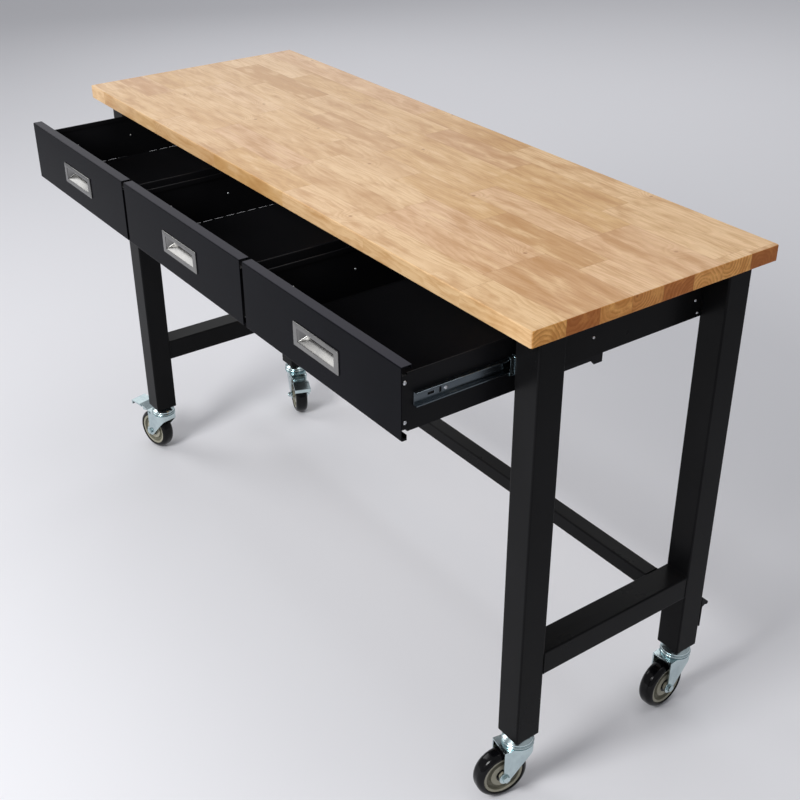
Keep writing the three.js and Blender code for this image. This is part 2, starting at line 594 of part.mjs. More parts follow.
// Caster stem: upper bearing race, kingpin with its riveted head, and the threaded stem in the leg.
function casterStem(name, caster) {
  const headTop = CROWN_BOTTOM - RACE_RUNNING_GAP;
  const rim = TOP_RACE_BOTTOM + TOP_RACE_RIM;
  const collar = LEG_BOTTOM - GAP;
  const stemTop = LEG_BOTTOM + STEM_LENGTH;
  const profile = [
    [0, headTop - KINGPIN_HEAD_HEIGHT], [KINGPIN_HEAD_RADIUS, headTop - KINGPIN_HEAD_HEIGHT],
    [KINGPIN_HEAD_RADIUS, headTop], [KINGPIN_RADIUS, headTop], [KINGPIN_RADIUS, TOP_RACE_BOTTOM],
    [TOP_RACE_RADIUS, TOP_RACE_BOTTOM], [TOP_RACE_RADIUS, rim],
    [TOP_RACE_COLLAR_RADIUS, collar - TOP_RACE_COLLAR], [TOP_RACE_COLLAR_RADIUS, collar],
    [KINGPIN_RADIUS, collar], [KINGPIN_RADIUS, stemTop], [0, stemTop],
  ];
  add(name, revolve(profile, "z"), ZINC, caster);
}

// Where a line from a point touches a circle, on the side given by +1 or -1.
function tangentPoint(from, centre, radius, side) {
  const toward = from.clone().sub(centre);
  const angle = toward.angle() + side * Math.acos(radius / toward.length());
  return polar(centre.x, centre.y, radius, angle);
}

// Half of the fork's plan: one cheek and the bend into the leading wall, at a half width and a leading end.
function forkWrap(half, end, radius) {
  return [
    point(FORK_TRAILING_REACH, half),
    ...arc(radius - end, half - radius, radius, Math.PI / 2, Math.PI),
    ...arc(radius - end, radius - half, radius, Math.PI, 1.5 * Math.PI),
    point(FORK_TRAILING_REACH, -half),
  ];
}

// Caster fork: a crown plate with the lower race pressed up in it, and a sheet wrapped round under it.
// The sheet is open behind. A side profile trims it to a low leading wall and to cheeks that taper
// to the axle.
function casterFork(name, caster, pivot) {
  const halfWidth = CHEEK_OUTSIDE;
  const shoulder = Math.asin(halfWidth / RACE_RADIUS);
  const crown = extrude([
    point(FORK_TRAILING_REACH, -halfWidth), point(FORK_TRAILING_REACH, halfWidth),
    ...arc(0, 0, RACE_RADIUS, shoulder, 2 * Math.PI - shoulder, 4 * ARC_STEPS),
  ], "z", CROWN_BOTTOM, CROWN_TOP);

  const axle = point(TRAIL, WHEEL_RADIUS);
  const cheekTop = CROWN_BOTTOM + FORK_SHEET / 2;
  const trailing = point(FORK_TRAILING_REACH, cheekTop);
  const leading = point(-FORK_LEADING_REACH, CROWN_BOTTOM - FORK_SKIRT);
  const eyeStart = tangentPoint(leading, axle, FORK_EYE_RADIUS, 1).sub(axle).angle();
  const eyeEnd = tangentPoint(trailing, axle, FORK_EYE_RADIUS, -1).sub(axle).angle();
  const sweep = eyeEnd > eyeStart ? eyeEnd : eyeEnd + 2 * Math.PI;
  const eye = arc(axle.x, axle.y, FORK_EYE_RADIUS, eyeStart, sweep, 2 * ARC_STEPS);
  const profile = [trailing, point(-FORK_LEADING_REACH, cheekTop), leading, ...eye];
  const outside = forkWrap(CHEEK_OUTSIDE, FORK_LEADING_REACH, FORK_CORNER_RADIUS);
  const inside = forkWrap(CHEEK_INSIDE, FORK_LEADING_REACH - FORK_SHEET, FORK_CORNER_RADIUS - FORK_SHEET);
  const sheet = extrude([...outside, ...inside.reverse()], "z", 0, cheekTop);
  const trimmed = solid(sheet).intersect(solid(extrude(profile, "y", -CHEEK_OUTSIDE, CHEEK_OUTSIDE)));

  const raceFoot = CROWN_BOTTOM + FORK_SHEET / 2;
  const raceMiddle = (CROWN_TOP + RACE_TOP) / 2;
  const race = revolve([
    [RACE_RADIUS - RACE_WIDTH, raceFoot], [RACE_RADIUS - RACE_NECK, raceFoot],
    [RACE_RADIUS - RACE_NECK, CROWN_TOP], [RACE_RADIUS, raceMiddle], [RACE_RADIUS, RACE_TOP - RACE_BEVEL],
    [RACE_RADIUS - RACE_BEVEL, RACE_TOP], [RACE_RADIUS - RACE_WIDTH, RACE_TOP],
    [RACE_RADIUS - RACE_WIDTH, raceFoot],
  ], "z");

  const across = 2 * CHEEK_OUTSIDE;
  const kingpinReach = KINGPIN_RADIUS + RUNNING_GAP;
  const kingpinHole = bar(kingpinReach, "z", CROWN_BOTTOM - FORK_SHEET, RACE_TOP, PIN_STEPS);
  const axleHole = bar(AXLE_RADIUS + GAP, "y", -across, across, PIN_STEPS).translate(axle.x, 0, axle.y);
  const holes = [kingpinHole, axleHole];
  if (pivot) {
    const pinHole = bar(PEDAL_PIN_RADIUS + RUNNING_GAP, "y", -across, across, PIN_STEPS);
    holes.push(pinHole.translate(pivot.x, 0, pivot.y));
  }
  add(name, cut(join(crown, race).add(trimmed), ...holes), ZINC, caster);
}

// Axle: a hexagon bolt through both cheeks, with its nut.
function casterAxle(name, wheel) {
  const seat = CHEEK_OUTSIDE + GAP;
  const head = bar(AXLE_HEX_RADIUS, "y", seat, seat + AXLE_HEAD_HEIGHT, 6);
  const nut = bar(AXLE_HEX_RADIUS, "y", -seat - AXLE_NUT_HEIGHT, -seat, 6);
  const shank = bar(AXLE_RADIUS, "y", -seat - AXLE_NUT_HEIGHT - AXLE_TAIL, seat + AXLE_HEAD_HEIGHT / 2);
  add(name, join(shank, head, nut), ZINC, wheel);
}

// Wheel core: rim, sloping recess, plate and boss, the same on both faces.
function wheelHub(name, wheel) {
  const rim = WHEEL_RADIUS - TYRE_THICKNESS - GAP;
  const rimFace = TYRE_WIDTH / 2 - HUB_RIM_INSET;
  const plateFace = TYRE_WIDTH / 2 - HUB_PLATE_INSET;
  const floor = TYRE_WIDTH / 2 - HUB_RECESS;
  const bossFace = CHEEK_INSIDE - GAP;
  const bore = AXLE_RADIUS + RUNNING_GAP;
  const face = [
    [rim, rimFace], [rim - HUB_RIM_WIDTH, rimFace], [rim - HUB_RIM_WIDTH - HUB_SLOPE, floor],
    [HUB_PLATE_RADIUS + HUB_SLOPE, floor], [HUB_PLATE_RADIUS, plateFace], [HUB_BOSS_RADIUS, plateFace],
    [HUB_BOSS_RADIUS, bossFace], [bore, bossFace],
  ];
  const back = face.map(([r, y]) => [r, -y]).reverse();
  add(name, revolve([...face, ...back, face[0]], "y", WHEEL_STEPS), HUB_BEIGE, wheel);
}

// Tyre: a tread with an elliptic shoulder on each side, moulded round the core.
function wheelTyre(name, wheel) {
  const bore = WHEEL_RADIUS - TYRE_THICKNESS;
  const half = TYRE_WIDTH / 2;
  const shoulderSteps = 4;
  const shoulder = Array.from({ length: shoulderSteps + 1 }, (_, i) => {
    const angle = (i / shoulderSteps) * (Math.PI / 2);
    const rise = TYRE_SHOULDER * Math.sin(angle);
    return [WHEEL_RADIUS - TYRE_SHOULDER + rise, half * (0.25 + 0.75 * Math.cos(angle))];
  });
  const mirrored = shoulder.map(([r, y]) => [r, -y]);
  const side = half - TYRE_BEAD_INSET;
  const profile = [[bore, -side], ...mirrored, ...shoulder.reverse(), [bore, side], [bore, -side]];
  add(name, revolve(profile, "y", WHEEL_STEPS), TYRE_BLACK, wheel);
}

// Brake pedal: a formed lever on a pin across the fork, with a shoe that comes down on the tyre.
// The shoe is drawn on the tyre, as with the pedal down, and turned back up about the pin. A pressed pedal
// turns down by the same travel.
function brakePedal(name, caster, pivot, pressed) {
  const up = THREE.MathUtils.degToRad(PEDAL_TRAVEL_DEGREES);
  const [start, end] = [BRAKE_SHOE_START_DEGREES, BRAKE_SHOE_END_DEGREES].map(THREE.MathUtils.degToRad);
  const shoe = arc(TRAIL, WHEEL_RADIUS, WHEEL_RADIUS + BRAKE_SHOE_GAP, start, end, ARC_STEPS)
    .map((p) => p.rotateAround(pivot, up));
  const at = (reach, rise) => point(pivot.x + reach, pivot.y + rise);
  const half = PEDAL_SHEET / 2;
  const ramp = (reach) =>
    ((reach - PEDAL_NECK_REACH) / (PEDAL_RAMP_REACH - PEDAL_NECK_REACH)) * PEDAL_RAMP_RISE - half;
  const underside = shoe.map((p) => p.x - pivot.x);
  const lever = [
    at(-PEDAL_HEEL, half), at(-PEDAL_HEEL, -half), at(PEDAL_NECK_REACH, -half),
    at(underside[0], ramp(underside[0])), ...shoe, at(underside.at(-1), ramp(underside.at(-1))),
    at(PEDAL_RAMP_REACH, PEDAL_RAMP_RISE - half), at(PEDAL_REACH - PEDAL_SHEET, PEDAL_END_RISE - half),
    at(PEDAL_REACH - PEDAL_SHEET, PEDAL_END_RISE - half - PEDAL_LIP),
    at(PEDAL_REACH, PEDAL_END_RISE - half - PEDAL_LIP), at(PEDAL_REACH, PEDAL_END_RISE + half),
    at(PEDAL_RAMP_REACH, PEDAL_RAMP_RISE + half), at(PEDAL_NECK_REACH, half),
  ];
  const neckHalf = CHEEK_INSIDE - PEDAL_NECK_GAP;
  const neck = solid(extrude(lever, "y", -neckHalf, neckHalf));
  const wide = solid(extrude(lever, "y", -PEDAL_WIDTH / 2, PEDAL_WIDTH / 2));
  const plateStart = Math.max(PEDAL_PLATE_START, underside.at(-1) + half);
  const plateX = [pivot.x + plateStart, pivot.x + 2 * PEDAL_REACH];
  const plateZone = block(plateX, [-PEDAL_WIDTH, PEDAL_WIDTH], [0, LEG_BOTTOM]);
  const seat = CHEEK_OUTSIDE + GAP;
  const onPivot = (geometry) => solid(geometry.translate(pivot.x, 0, pivot.y));
  const pinEnd = seat + PEDAL_PIN_HEAD / 2;
  const pin = onPivot(bar(PEDAL_PIN_RADIUS, "y", -pinEnd, pinEnd, PIN_STEPS));
  const heads = [[seat, seat + PEDAL_PIN_HEAD], [-seat - PEDAL_PIN_HEAD, -seat]].map(([from, to]) =>
    onPivot(bar(PEDAL_PIN_HEAD_RADIUS, "y", from, to, PIN_STEPS)));
  const plate = wide.intersect(solid(plateZone));
  const pedal = [plate, pin, ...heads].reduce((whole, piece) => whole.add(piece), neck);
  const shape = geometryOf(pedal);
  if (pressed) shape.translate(-pivot.x, 0, -pivot.y).rotateY(up).translate(pivot.x, 0, pivot.y);
  add(name, shape, ZINC, caster);
}

// A whole caster under a leg, turned to its own heading.
// Its local +X runs from the swivel axis to the axle.
function caster({ name, side, row, heading, brake }) {
  const group = groupAt(side * LEG_X, LEG_Y[row]);
  group.rotation.z = THREE.MathUtils.degToRad(heading);
  const pivot = brake
    ? point(FORK_TRAILING_REACH - PEDAL_PIVOT_INSET, WHEEL_DIAMETER + FORK_TOP_GAP / 2)
    : null;
  casterStem(`caster_stem_${name}`, group);
  casterFork(`caster_fork_${name}`, group, pivot);
  if (brake) brakePedal(`brake_pedal_${name}`, group, pivot, brake === "pressed");
  const wheel = groupAt(TRAIL, 0, group);
  wheel.position.z = WHEEL_RADIUS;
  casterAxle(`caster_axle_${name}`, wheel);
  wheelHub(`wheel_hub_${name}`, wheel);
  wheelTyre(`wheel_tyre_${name}`, wheel);
}

// Hook: a plate on the back of the rear right leg with an arm that slants down and ends in a round tip.
function rearHook() {
  const top = HOOK_BOTTOM + HOOK_PLATE_HEIGHT;
  const back = LEG_BACK_Y + GAP;
  const rear = back + HOOK_PLATE;
  const tip = point(rear + HOOK_REACH - HOOK_TIP_RADIUS, top - HOOK_DROP);
  const outline = [
    point(back, HOOK_BOTTOM), point(rear, HOOK_BOTTOM), point(rear, top - HOOK_ROOT),
    ...arc(tip.x, tip.y, HOOK_TIP_RADIUS, -Math.PI / 2, Math.PI / 3), point(rear, top), point(back, top),
  ];
  add("rear_hook", extrude(outline, "x", LEG_OUTER_X - HOOK_WIDTH, LEG_OUTER_X), FRAME_BLACK);
}

const DRAWERS = ["left", "middle", "right"].map((name, index) => ({ name, x: bayCentre(index) }));

worktop();
for (const { name, side, row } of CASTERS) leg(`leg_${name}`, side * LEG_X, LEG_Y[row]);
stretchers();
sidePanel("side_panel_left", -1);
sidePanel("side_panel_right", 1);
rearPanel();
DRAWERS.slice(1).forEach(({ name, x }) => partition(`partition_${name}`, x - BAY_PITCH / 2));
for (const { name, x } of DRAWERS) {
  cabinetMembers(name, x);
  const drawer = groupAt(x, FACE_Y);
  drawerFront(`drawer_front_${name}`, drawer);
  drawerTray(`drawer_tray_${name}`, drawer, SLOTTED_TRAYS.includes(name));
  drawerPull(`drawer_pull_${name}`, drawer);
  drawerMembers(name, drawer);
}
CASTERS.forEach(caster);
rearHook();

// The origin is on the floor, in the middle of the space that the bench takes up with its drawers out.
const extent = new THREE.Box3().setFromObject(bench, true);
const middle = extent.getCenter(new THREE.Vector3());
bench.position.set(-middle.x, -middle.y, -extent.min.z);

const part = new THREE.Group();
part.add(bench);

export default part;
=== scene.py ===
# %% [markdown]
# # A rolling workbench with three drawers
# The bench has a glued wood top on a black steel frame, a row of drawers on ball bearing slides, and four casters.
# Its solid model is loaded first and stays as it is. The details could then be modelled by hand in the viewport.
# Here each finish is a graph of shader nodes and each small or round piece is a formula, so that the whole bench
# can be rebuilt and changed from one script.

import json
import math

import bmesh
import bpy
import numpy as np
from mathutils import Matrix, Vector


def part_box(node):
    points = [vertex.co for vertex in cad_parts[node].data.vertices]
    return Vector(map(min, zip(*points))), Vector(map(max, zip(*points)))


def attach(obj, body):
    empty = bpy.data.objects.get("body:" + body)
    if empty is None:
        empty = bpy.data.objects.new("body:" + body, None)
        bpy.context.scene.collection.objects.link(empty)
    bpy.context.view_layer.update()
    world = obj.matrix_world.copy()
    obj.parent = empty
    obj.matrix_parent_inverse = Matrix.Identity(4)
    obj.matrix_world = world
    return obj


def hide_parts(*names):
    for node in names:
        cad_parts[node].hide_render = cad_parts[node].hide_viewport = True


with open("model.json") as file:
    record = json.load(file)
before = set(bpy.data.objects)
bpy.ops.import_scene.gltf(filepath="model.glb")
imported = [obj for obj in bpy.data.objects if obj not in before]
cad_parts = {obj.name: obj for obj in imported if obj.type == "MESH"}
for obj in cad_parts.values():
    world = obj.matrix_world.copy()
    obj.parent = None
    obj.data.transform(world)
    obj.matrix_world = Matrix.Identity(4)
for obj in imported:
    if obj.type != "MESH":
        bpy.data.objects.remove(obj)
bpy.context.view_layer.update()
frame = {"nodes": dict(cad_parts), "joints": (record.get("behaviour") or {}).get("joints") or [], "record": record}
nodes = frame["nodes"]
joints = {joint["name"]: joint for joint in frame["joints"]}
MM = 0.001
DRAWERS = ("left", "middle", "right")
CASTERS = ("front_left", "front_right", "rear_left", "rear_right")


# %% [markdown]
# ## Grids of points
# Tube, pressed sheet and turned metal are all surfaces of two parameters. They could start from Blender's own
# primitives. Here each is a grid of points that is worked out as a whole array, because a formula gives exact
# sizes and can be read. Two functions do the bookkeeping: one gives the box of a solid, one numbers the quads.

# %% Boxes and quads
def box_of(node):
    """The lowest and highest corner of a node as two arrays."""
    low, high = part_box(node)
    return np.array(low, float), np.array(high, float)


def grid_quads(rows, columns, wrap_rows=False):
    """Quads between neighbouring points of a grid: point (i, j) has the number i * columns + j. Each row closes on
    itself, and with wrap_rows the last row also joins the first."""
    i = np.arange(rows if wrap_rows else rows - 1)[:, None]
    j = np.arange(columns)[None, :]
    below, right = (i + 1) % rows, (j + 1) % columns
    corners = [i * columns + j, i * columns + right, below * columns + right, below * columns + j]
    return np.stack(corners, axis=-1).reshape(-1, 4)


print("a grid of 3 rows and 4 columns has", len(grid_quads(3, 4)), "quads")


# %% [markdown]
# ## From arrays to objects
# A real part is one closed skin, but a grid comes as loose rows of points. Each mesh could be joined and smoothed
# by hand. One function does it for all: points that meet at a pole or a seam are merged, faces turn outwards, and
# folds are marked sharp by their angle, so that only round stretches shade smoothly. It also hides the solids a
# piece takes the place of and ties it to the body it moves with.

# %% Make a piece
MERGE_DISTANCE = 1e-6
SLIVER = 1e-7


def make_piece(name, points, quads, material, body, slot_name, stands_for=(), sharp=35):
    """Points and quads as an object; folds of more than `sharp` degrees stay crisp."""
    mesh = bpy.data.meshes.new(name)
    mesh.from_pydata(points.tolist(), [], quads.tolist())
    shell = bmesh.new()
    shell.from_mesh(mesh)
    bmesh.ops.remove_doubles(shell, verts=shell.verts, dist=MERGE_DISTANCE)
    bmesh.ops.dissolve_degenerate(shell, edges=shell.edges, dist=SLIVER)
    bmesh.ops.recalc_face_normals(shell, faces=shell.faces)
    shell.to_mesh(mesh)
    shell.free()
    mesh.polygons.foreach_set("use_smooth", np.ones(len(mesh.polygons), bool))
    mesh.set_sharp_from_angle(angle=math.radians(sharp))
    mesh.materials.append(material)
    piece = bpy.data.objects.new(name, mesh)
    bpy.context.scene.collection.objects.link(piece)
    if stands_for:
        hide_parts(*stands_for)
    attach(piece, body)
    return piece


print("points closer than", MERGE_DISTANCE / MM, "mm are merged")


# %% [markdown]
# ## Tools for finishes
# A finish on a real bench is never one flat colour. In Blender it is a graph of shader nodes, which could be wired
# by hand in the shader editor. These helpers add one node each and return its output, so that a graph reads like
# a formula, and a group holds an effect that several finishes share. All patterns use Object coordinates, which
# here are metres in the bench's frame, so they have their real scale and stay on their piece when it moves.

# %% A graph of nodes
class Graph:
    """The node tree of a material or a group, with one short method for each kind of node."""

    def __init__(self, tree):
        self.tree = tree

    def node(self, kind, **settings):
        made = self.tree.nodes.new(kind)
        for key, value in settings.items():
            setattr(made, key, value)
        return made

    def feed(self, socket, value):
        if isinstance(value, bpy.types.NodeSocket):
            self.tree.links.new(value, socket)
        elif value is not None:
            socket.default_value = value

    def fed(self, kind, values, **settings):
        """A new node whose first inputs get the values; None leaves an input as it is."""
        made = self.node(kind, **settings)
        for socket, value in zip(made.inputs, values):
            self.feed(socket, value)
        return made

    def math(self, operation, *values):
        return self.fed("ShaderNodeMath", values, operation=operation).outputs[0]

    def times(self, a, b):
        return self.math("MULTIPLY", a, b)

    def minus(self, a, b):
        return self.math("SUBTRACT", a, b)

    def times_plus(self, a, b, c):
        return self.math("MULTIPLY_ADD", a, b, c)

    def vector(self, operation, *values):
        made = self.fed("ShaderNodeVectorMath", values, operation=operation)
        return made.outputs["Value" if operation == "LENGTH" else "Vector"]

    def combine(self, *values):
        return self.fed("ShaderNodeCombineXYZ", values).outputs[0]

    def separate(self, vector):
        return self.fed("ShaderNodeSeparateXYZ", [vector]).outputs

    def noise(self, vector, scale, detail=2.0, roughness=0.5):
        return self.fed("ShaderNodeTexNoise", (vector, None, scale, detail, roughness)).outputs[0]

    def random(self, vector):
        return self.fed("ShaderNodeTexWhiteNoise", [vector], noise_dimensions="3D").outputs

    def remap(self, value, low, high, to_low=0.0, to_high=1.0):
        """A soft step: low becomes to_low, high becomes to_high, and nothing goes past them."""
        values = (value, low, high, to_low, to_high)
        return self.fed("ShaderNodeMapRange", values, interpolation_type="SMOOTHSTEP").outputs[0]

    def about(self, middle, noise, spread):
        """A value that wavers about a middle: middle + (noise - 1/2) * spread."""
        return self.math("ADD", middle, self.times(self.minus(noise, 0.5), spread))

    def mix(self, factor, a, b, blend="MIX"):
        made = self.node("ShaderNodeMix", data_type="RGBA", blend_type=blend)
        self.feed(made.inputs[0], factor)
        self.feed(made.inputs[6], a)
        self.feed(made.inputs[7], b)
        return made.outputs[2]

    def bump(self, height, strength, distance):
        made = self.node("ShaderNodeBump")
        self.feed(made.inputs["Height"], height)
        made.inputs["Strength"].default_value = strength
        made.inputs["Distance"].default_value = distance
        return made.outputs[0]

    def group(self, tree, **values):
        made = self.node("ShaderNodeGroup", node_tree=tree)
        for key, value in values.items():
            self.feed(made.inputs[key], value)
        return made.outputs


print("a graph has", len([name for name in vars(Graph) if not name.startswith("_")]), "methods")


# %% New finishes and groups
FLOAT, VECTOR, COLOUR = "NodeSocketFloat", "NodeSocketVector", "NodeSocketColor"


def new_finish(name, metallic=0.0, coat=0.0):
    """A material, its graph, its shader and the place of each point of the surface."""
    material = bpy.data.materials.new(name)
    material.use_nodes = True
    graph = Graph(material.node_tree)
    shader = material.node_tree.nodes["Principled BSDF"]
    shader.inputs["Metallic"].default_value = metallic
    shader.inputs["Coat Weight"].default_value = coat
    place = graph.node("ShaderNodeTexCoord").outputs["Object"]
    return material, graph, shader, place


def new_group(name, inputs, outputs):
    """A node group with named sockets, its graph, what it is given and what it puts out."""
    tree = bpy.data.node_groups.new(name, "ShaderNodeTree")
    for label, kind, value in inputs:
        socket = tree.interface.new_socket(name=label, in_out="INPUT", socket_type=kind)
        if value is not None:
            socket.default_value = value
    for label, kind in outputs:
        tree.interface.new_socket(name=label, in_out="OUTPUT", socket_type=kind)
    graph = Graph(tree)
    return tree, graph, graph.node("NodeGroupInput").outputs, graph.node("NodeGroupOutput").inputs


def cover(graph, shader, colour, roughness, normal):
    """What changes over a surface goes to its shader: colour, roughness and normal."""
    for socket, value in (("Base Color", colour), ("Roughness", roughness), ("Normal", normal)):
        graph.feed(shader.inputs[socket], value)


print("ready for finishes and groups")


# %% [markdown]
# ## Powder coat
# Frame, drawers and trays are painted with a powder that is baked on. It leaves a fine pebbled skin, uneven in
# gloss, and dust settles on it in faint clouds. Faces that look upwards are lighter and cooler. Each paint could
# have a graph of its own.
# As the three share these effects, one group makes them, and each material places it with its own values. The
# black itself is very dark, because most of what the eye sees of it is the reflection of the floor.

# %% The powder coat group
PEBBLES, SPECKS, CLOUDS = 1500.0, 420.0, 7.0  # features in a metre
WORN_LIGHTER = (1.9, 1.9, 1.95, 1)
SPECK_SHARE = 0.25
CLOUD_GLOSS = 0.16
PEBBLE_STRENGTH, PEBBLE_HEIGHT = 0.03, 0.0002

powder, g, given, out = new_group(
    "pebbled powder coat",
    [("Place", VECTOR, None), ("Facing", VECTOR, None), ("Paint", COLOUR, None), ("Dust", COLOUR, None),
     ("Bloom", FLOAT, 0.3), ("Gloss", FLOAT, 0.4)],
    [("Colour", COLOUR), ("Roughness", FLOAT), ("Height", FLOAT)],
)
pebble = g.noise(given["Place"], PEBBLES)
cloud = g.noise(given["Place"], CLOUDS, 4.0, 0.6)
speck = g.remap(g.noise(given["Place"], SPECKS, 1.0), 0.70, 0.80)
lighter = g.mix(1.0, given["Paint"], WORN_LIGHTER, "MULTIPLY")
faded = g.mix(g.times(g.remap(cloud, 0.35, 0.75), given["Bloom"]), given["Paint"], lighter)
flecked = g.mix(g.times(speck, SPECK_SHARE), faded, lighter)
# Faces that look upwards get a lighter, cooler colour added on top of the paint.
upward_faces = g.remap(g.separate(given["Facing"])[2], 0.70, 0.95)
g.feed(out["Colour"], g.mix(upward_faces, flecked, g.mix(1.0, flecked, given["Dust"], "ADD")))
g.feed(out["Roughness"], g.about(given["Gloss"], cloud, CLOUD_GLOSS))
g.feed(out["Height"], pebble)


def powder_coat(name, paint, level_tint, bloom, gloss, shine):
    """A paint: its colour, the lighter tint on upward faces, how far it faded, its roughness and its reflection."""
    material, graph, shader, place = new_finish(name)
    shader.inputs["Specular IOR Level"].default_value = shine
    facing = graph.node("ShaderNodeTexCoord").outputs["Normal"]
    coat = graph.group(powder, Place=place, Facing=facing, Paint=(*paint, 1), Dust=(*level_tint, 1), Bloom=bloom,
                       Gloss=gloss)
    skin = graph.bump(coat["Height"], PEBBLE_STRENGTH, PEBBLE_HEIGHT)
    cover(graph, shader, coat["Colour"], coat["Roughness"], skin)
    return material


frame_paint = powder_coat("frame_paint", paint=(0.0062, 0.0062, 0.0066), level_tint=(0.002, 0.002, 0.002),
                          bloom=0.35, gloss=0.30, shine=0.060)
drawer_paint = powder_coat("drawer_paint", paint=(0.0040, 0.0042, 0.0057), level_tint=(0.034, 0.033, 0.039),
                           bloom=0.30, gloss=0.17, shine=0.022)
tray_paint = powder_coat("tray_paint", paint=(0.0064, 0.0064, 0.0074), level_tint=(0.001, 0.001, 0.001),
                         bloom=0.30, gloss=0.38, shine=0.09)
print("three powder coats")


# %% [markdown]
# ## Bare and plated metal
# The pulls are brushed nickel, with fine lines along the pull. Slides, casters and screws are zinc plated: paler,
# bluish and cloudy. The lines could be an anisotropic shader. Streaks of noise are chosen because they also carry
# colour and bump and survive an export. One group makes them, and its Run says how fast they change along each
# axis. A mask paints the upright web of a slide darker, as a painted dark reflection.

# %% The streaked metal group
PATCHES = 38.0  # cloudy patches in a metre
TARNISH = (0.72, 0.73, 0.76, 1)
STREAK_SHARE = 0.55
STREAK_GLOSS = 0.22
STREAK_HEIGHT = 0.0002

streaks, g, given, out = new_group(
    "streaked metal",
    [("Place", VECTOR, None), ("Metal", COLOUR, None), ("Run", VECTOR, (1, 1, 1)), ("Gloss", FLOAT, 0.3)],
    [("Colour", COLOUR), ("Roughness", FLOAT), ("Height", FLOAT)],
)
line = g.noise(g.vector("MULTIPLY", given["Place"], given["Run"]), 1.0, 3.0, 0.65)
cloud = g.noise(given["Place"], PATCHES, 3.0, 0.6)
dull = g.mix(1.0, given["Metal"], TARNISH, "MULTIPLY")
shade = g.math("ADD", g.times(line, STREAK_SHARE), g.times(cloud, STREAK_SHARE))
g.feed(out["Colour"], g.mix(g.remap(shade, 0.32, 0.78), dull, given["Metal"]))
g.feed(out["Roughness"], g.about(given["Gloss"], line, STREAK_GLOSS))
g.feed(out["Height"], line)


def streaked_metal(name, metal, run, gloss, depth, web_painted_shade=1.0):
    """A plated metal; faces that look along X keep only a share of its colour: a painted dark reflection."""
    material, graph, shader, place = new_finish(name, metallic=1.0)
    streak = graph.group(streaks, Place=place, Metal=(*metal, 1), Run=run, Gloss=gloss)
    facing = graph.separate(graph.node("ShaderNodeTexCoord").outputs["Normal"])
    # The webs, which look along X, are painted darker here: a painted dark reflection.
    web = graph.remap(graph.math("ABSOLUTE", facing[0]), 0.80, 0.95)
    painted_dark_web = graph.mix(1.0, streak["Colour"], (web_painted_shade, web_painted_shade, web_painted_shade, 1), "MULTIPLY")
    colour = graph.mix(web, streak["Colour"], painted_dark_web)
    cover(graph, shader, colour, streak["Roughness"], graph.bump(streak["Height"], depth, STREAK_HEIGHT))
    return material


pull_nickel = streaked_metal("pull_nickel", (0.240, 0.236, 0.226), run=(18, 900, 900), gloss=0.24, depth=0.03)
# The webs of the slides keep 0.36 of their colour, a painted dark reflection.
slide_zinc = streaked_metal("slide_zinc", (0.36, 0.42, 0.46), run=(600, 14, 600), gloss=0.24, depth=0.03,
                            web_painted_shade=0.36)
caster_zinc = streaked_metal("caster_zinc", (0.64, 0.76, 0.77), run=(30, 30, 14), gloss=0.20, depth=0.01)
screw_zinc = streaked_metal("screw_zinc", (0.95, 0.96, 0.97), run=(60, 60, 60), gloss=0.32, depth=0.01)
print("four plated metals")


# %% [markdown]
# ## Rubber and moulded plastic
# The tyres are smooth black rubber, and the wheel cores are a warm grey plastic with the faint flow marks of
# moulding. Each could be a plain colour. A cloudy mix of two near colours with a fine grain is closer to the real
# thing. The groove of a core gets a darker mix, which paints the shade that falls in it.

# %% Tyre rubber and core plastic
GRAIN = 2400.0  # grains in a metre
GRAIN_STRENGTH, GRAIN_HEIGHT = 0.06, 0.0001
DULLER = 0.10


def moulded(name, colour, dusty, gloss, patches, shine):
    """A moulded finish between two colours, in cloudy patches whose number in a metre is given."""
    material, graph, shader, place = new_finish(name)
    cloud = graph.noise(place, patches, 5.0, 0.65)
    grain = graph.noise(place, GRAIN)
    tint = graph.mix(graph.remap(cloud, 0.42, 0.74), (*colour, 1), (*dusty, 1))
    rough = graph.remap(cloud, 0.3, 0.7, gloss, gloss + DULLER)
    cover(graph, shader, tint, rough, graph.bump(grain, GRAIN_STRENGTH, GRAIN_HEIGHT))
    shader.inputs["Specular IOR Level"].default_value = shine
    return material


tyre_rubber = moulded("tyre_rubber", (0.0024, 0.0024, 0.0030), (0.0042, 0.0042, 0.0049), gloss=0.08, patches=60.0,
                      shine=0.20)
hub_plastic = moulded("hub_plastic", (0.315, 0.300, 0.228), (0.400, 0.384, 0.305), gloss=0.46, patches=45.0,
                      shine=0.4)
# The darker plastic of the groove paints the shade that falls in it.
hub_groove_painted_shade = moulded("hub_groove_painted_shade", (0.150, 0.144, 0.104), (0.200, 0.192, 0.146), gloss=0.52, patches=45.0,
                     shine=0.3)
print("one rubber and two plastics")


# %% [markdown]
# ## The wood: staves and blocks
# The top is glued up from staves, and each stave from shorter blocks, end to end. A picture of wood could be laid
# on it, but it would not run on round the edges. Here the wood is solid: every point in space gets the number of
# its stave and of its block, and lots that are drawn from those numbers, so that all faces of a block agree.

# %% Staves and blocks
STAVES = 8
SHORTEST_BLOCK, BLOCK_SPREAD, FIRST_BLOCK_SHIFT = 0.19, 0.13, 0.45
OIL_COAT, END_OIL_COAT = 0.5, 0.1
top_low, top_high = box_of("worktop")
stave_width = (top_high[1] - top_low[1]) / STAVES

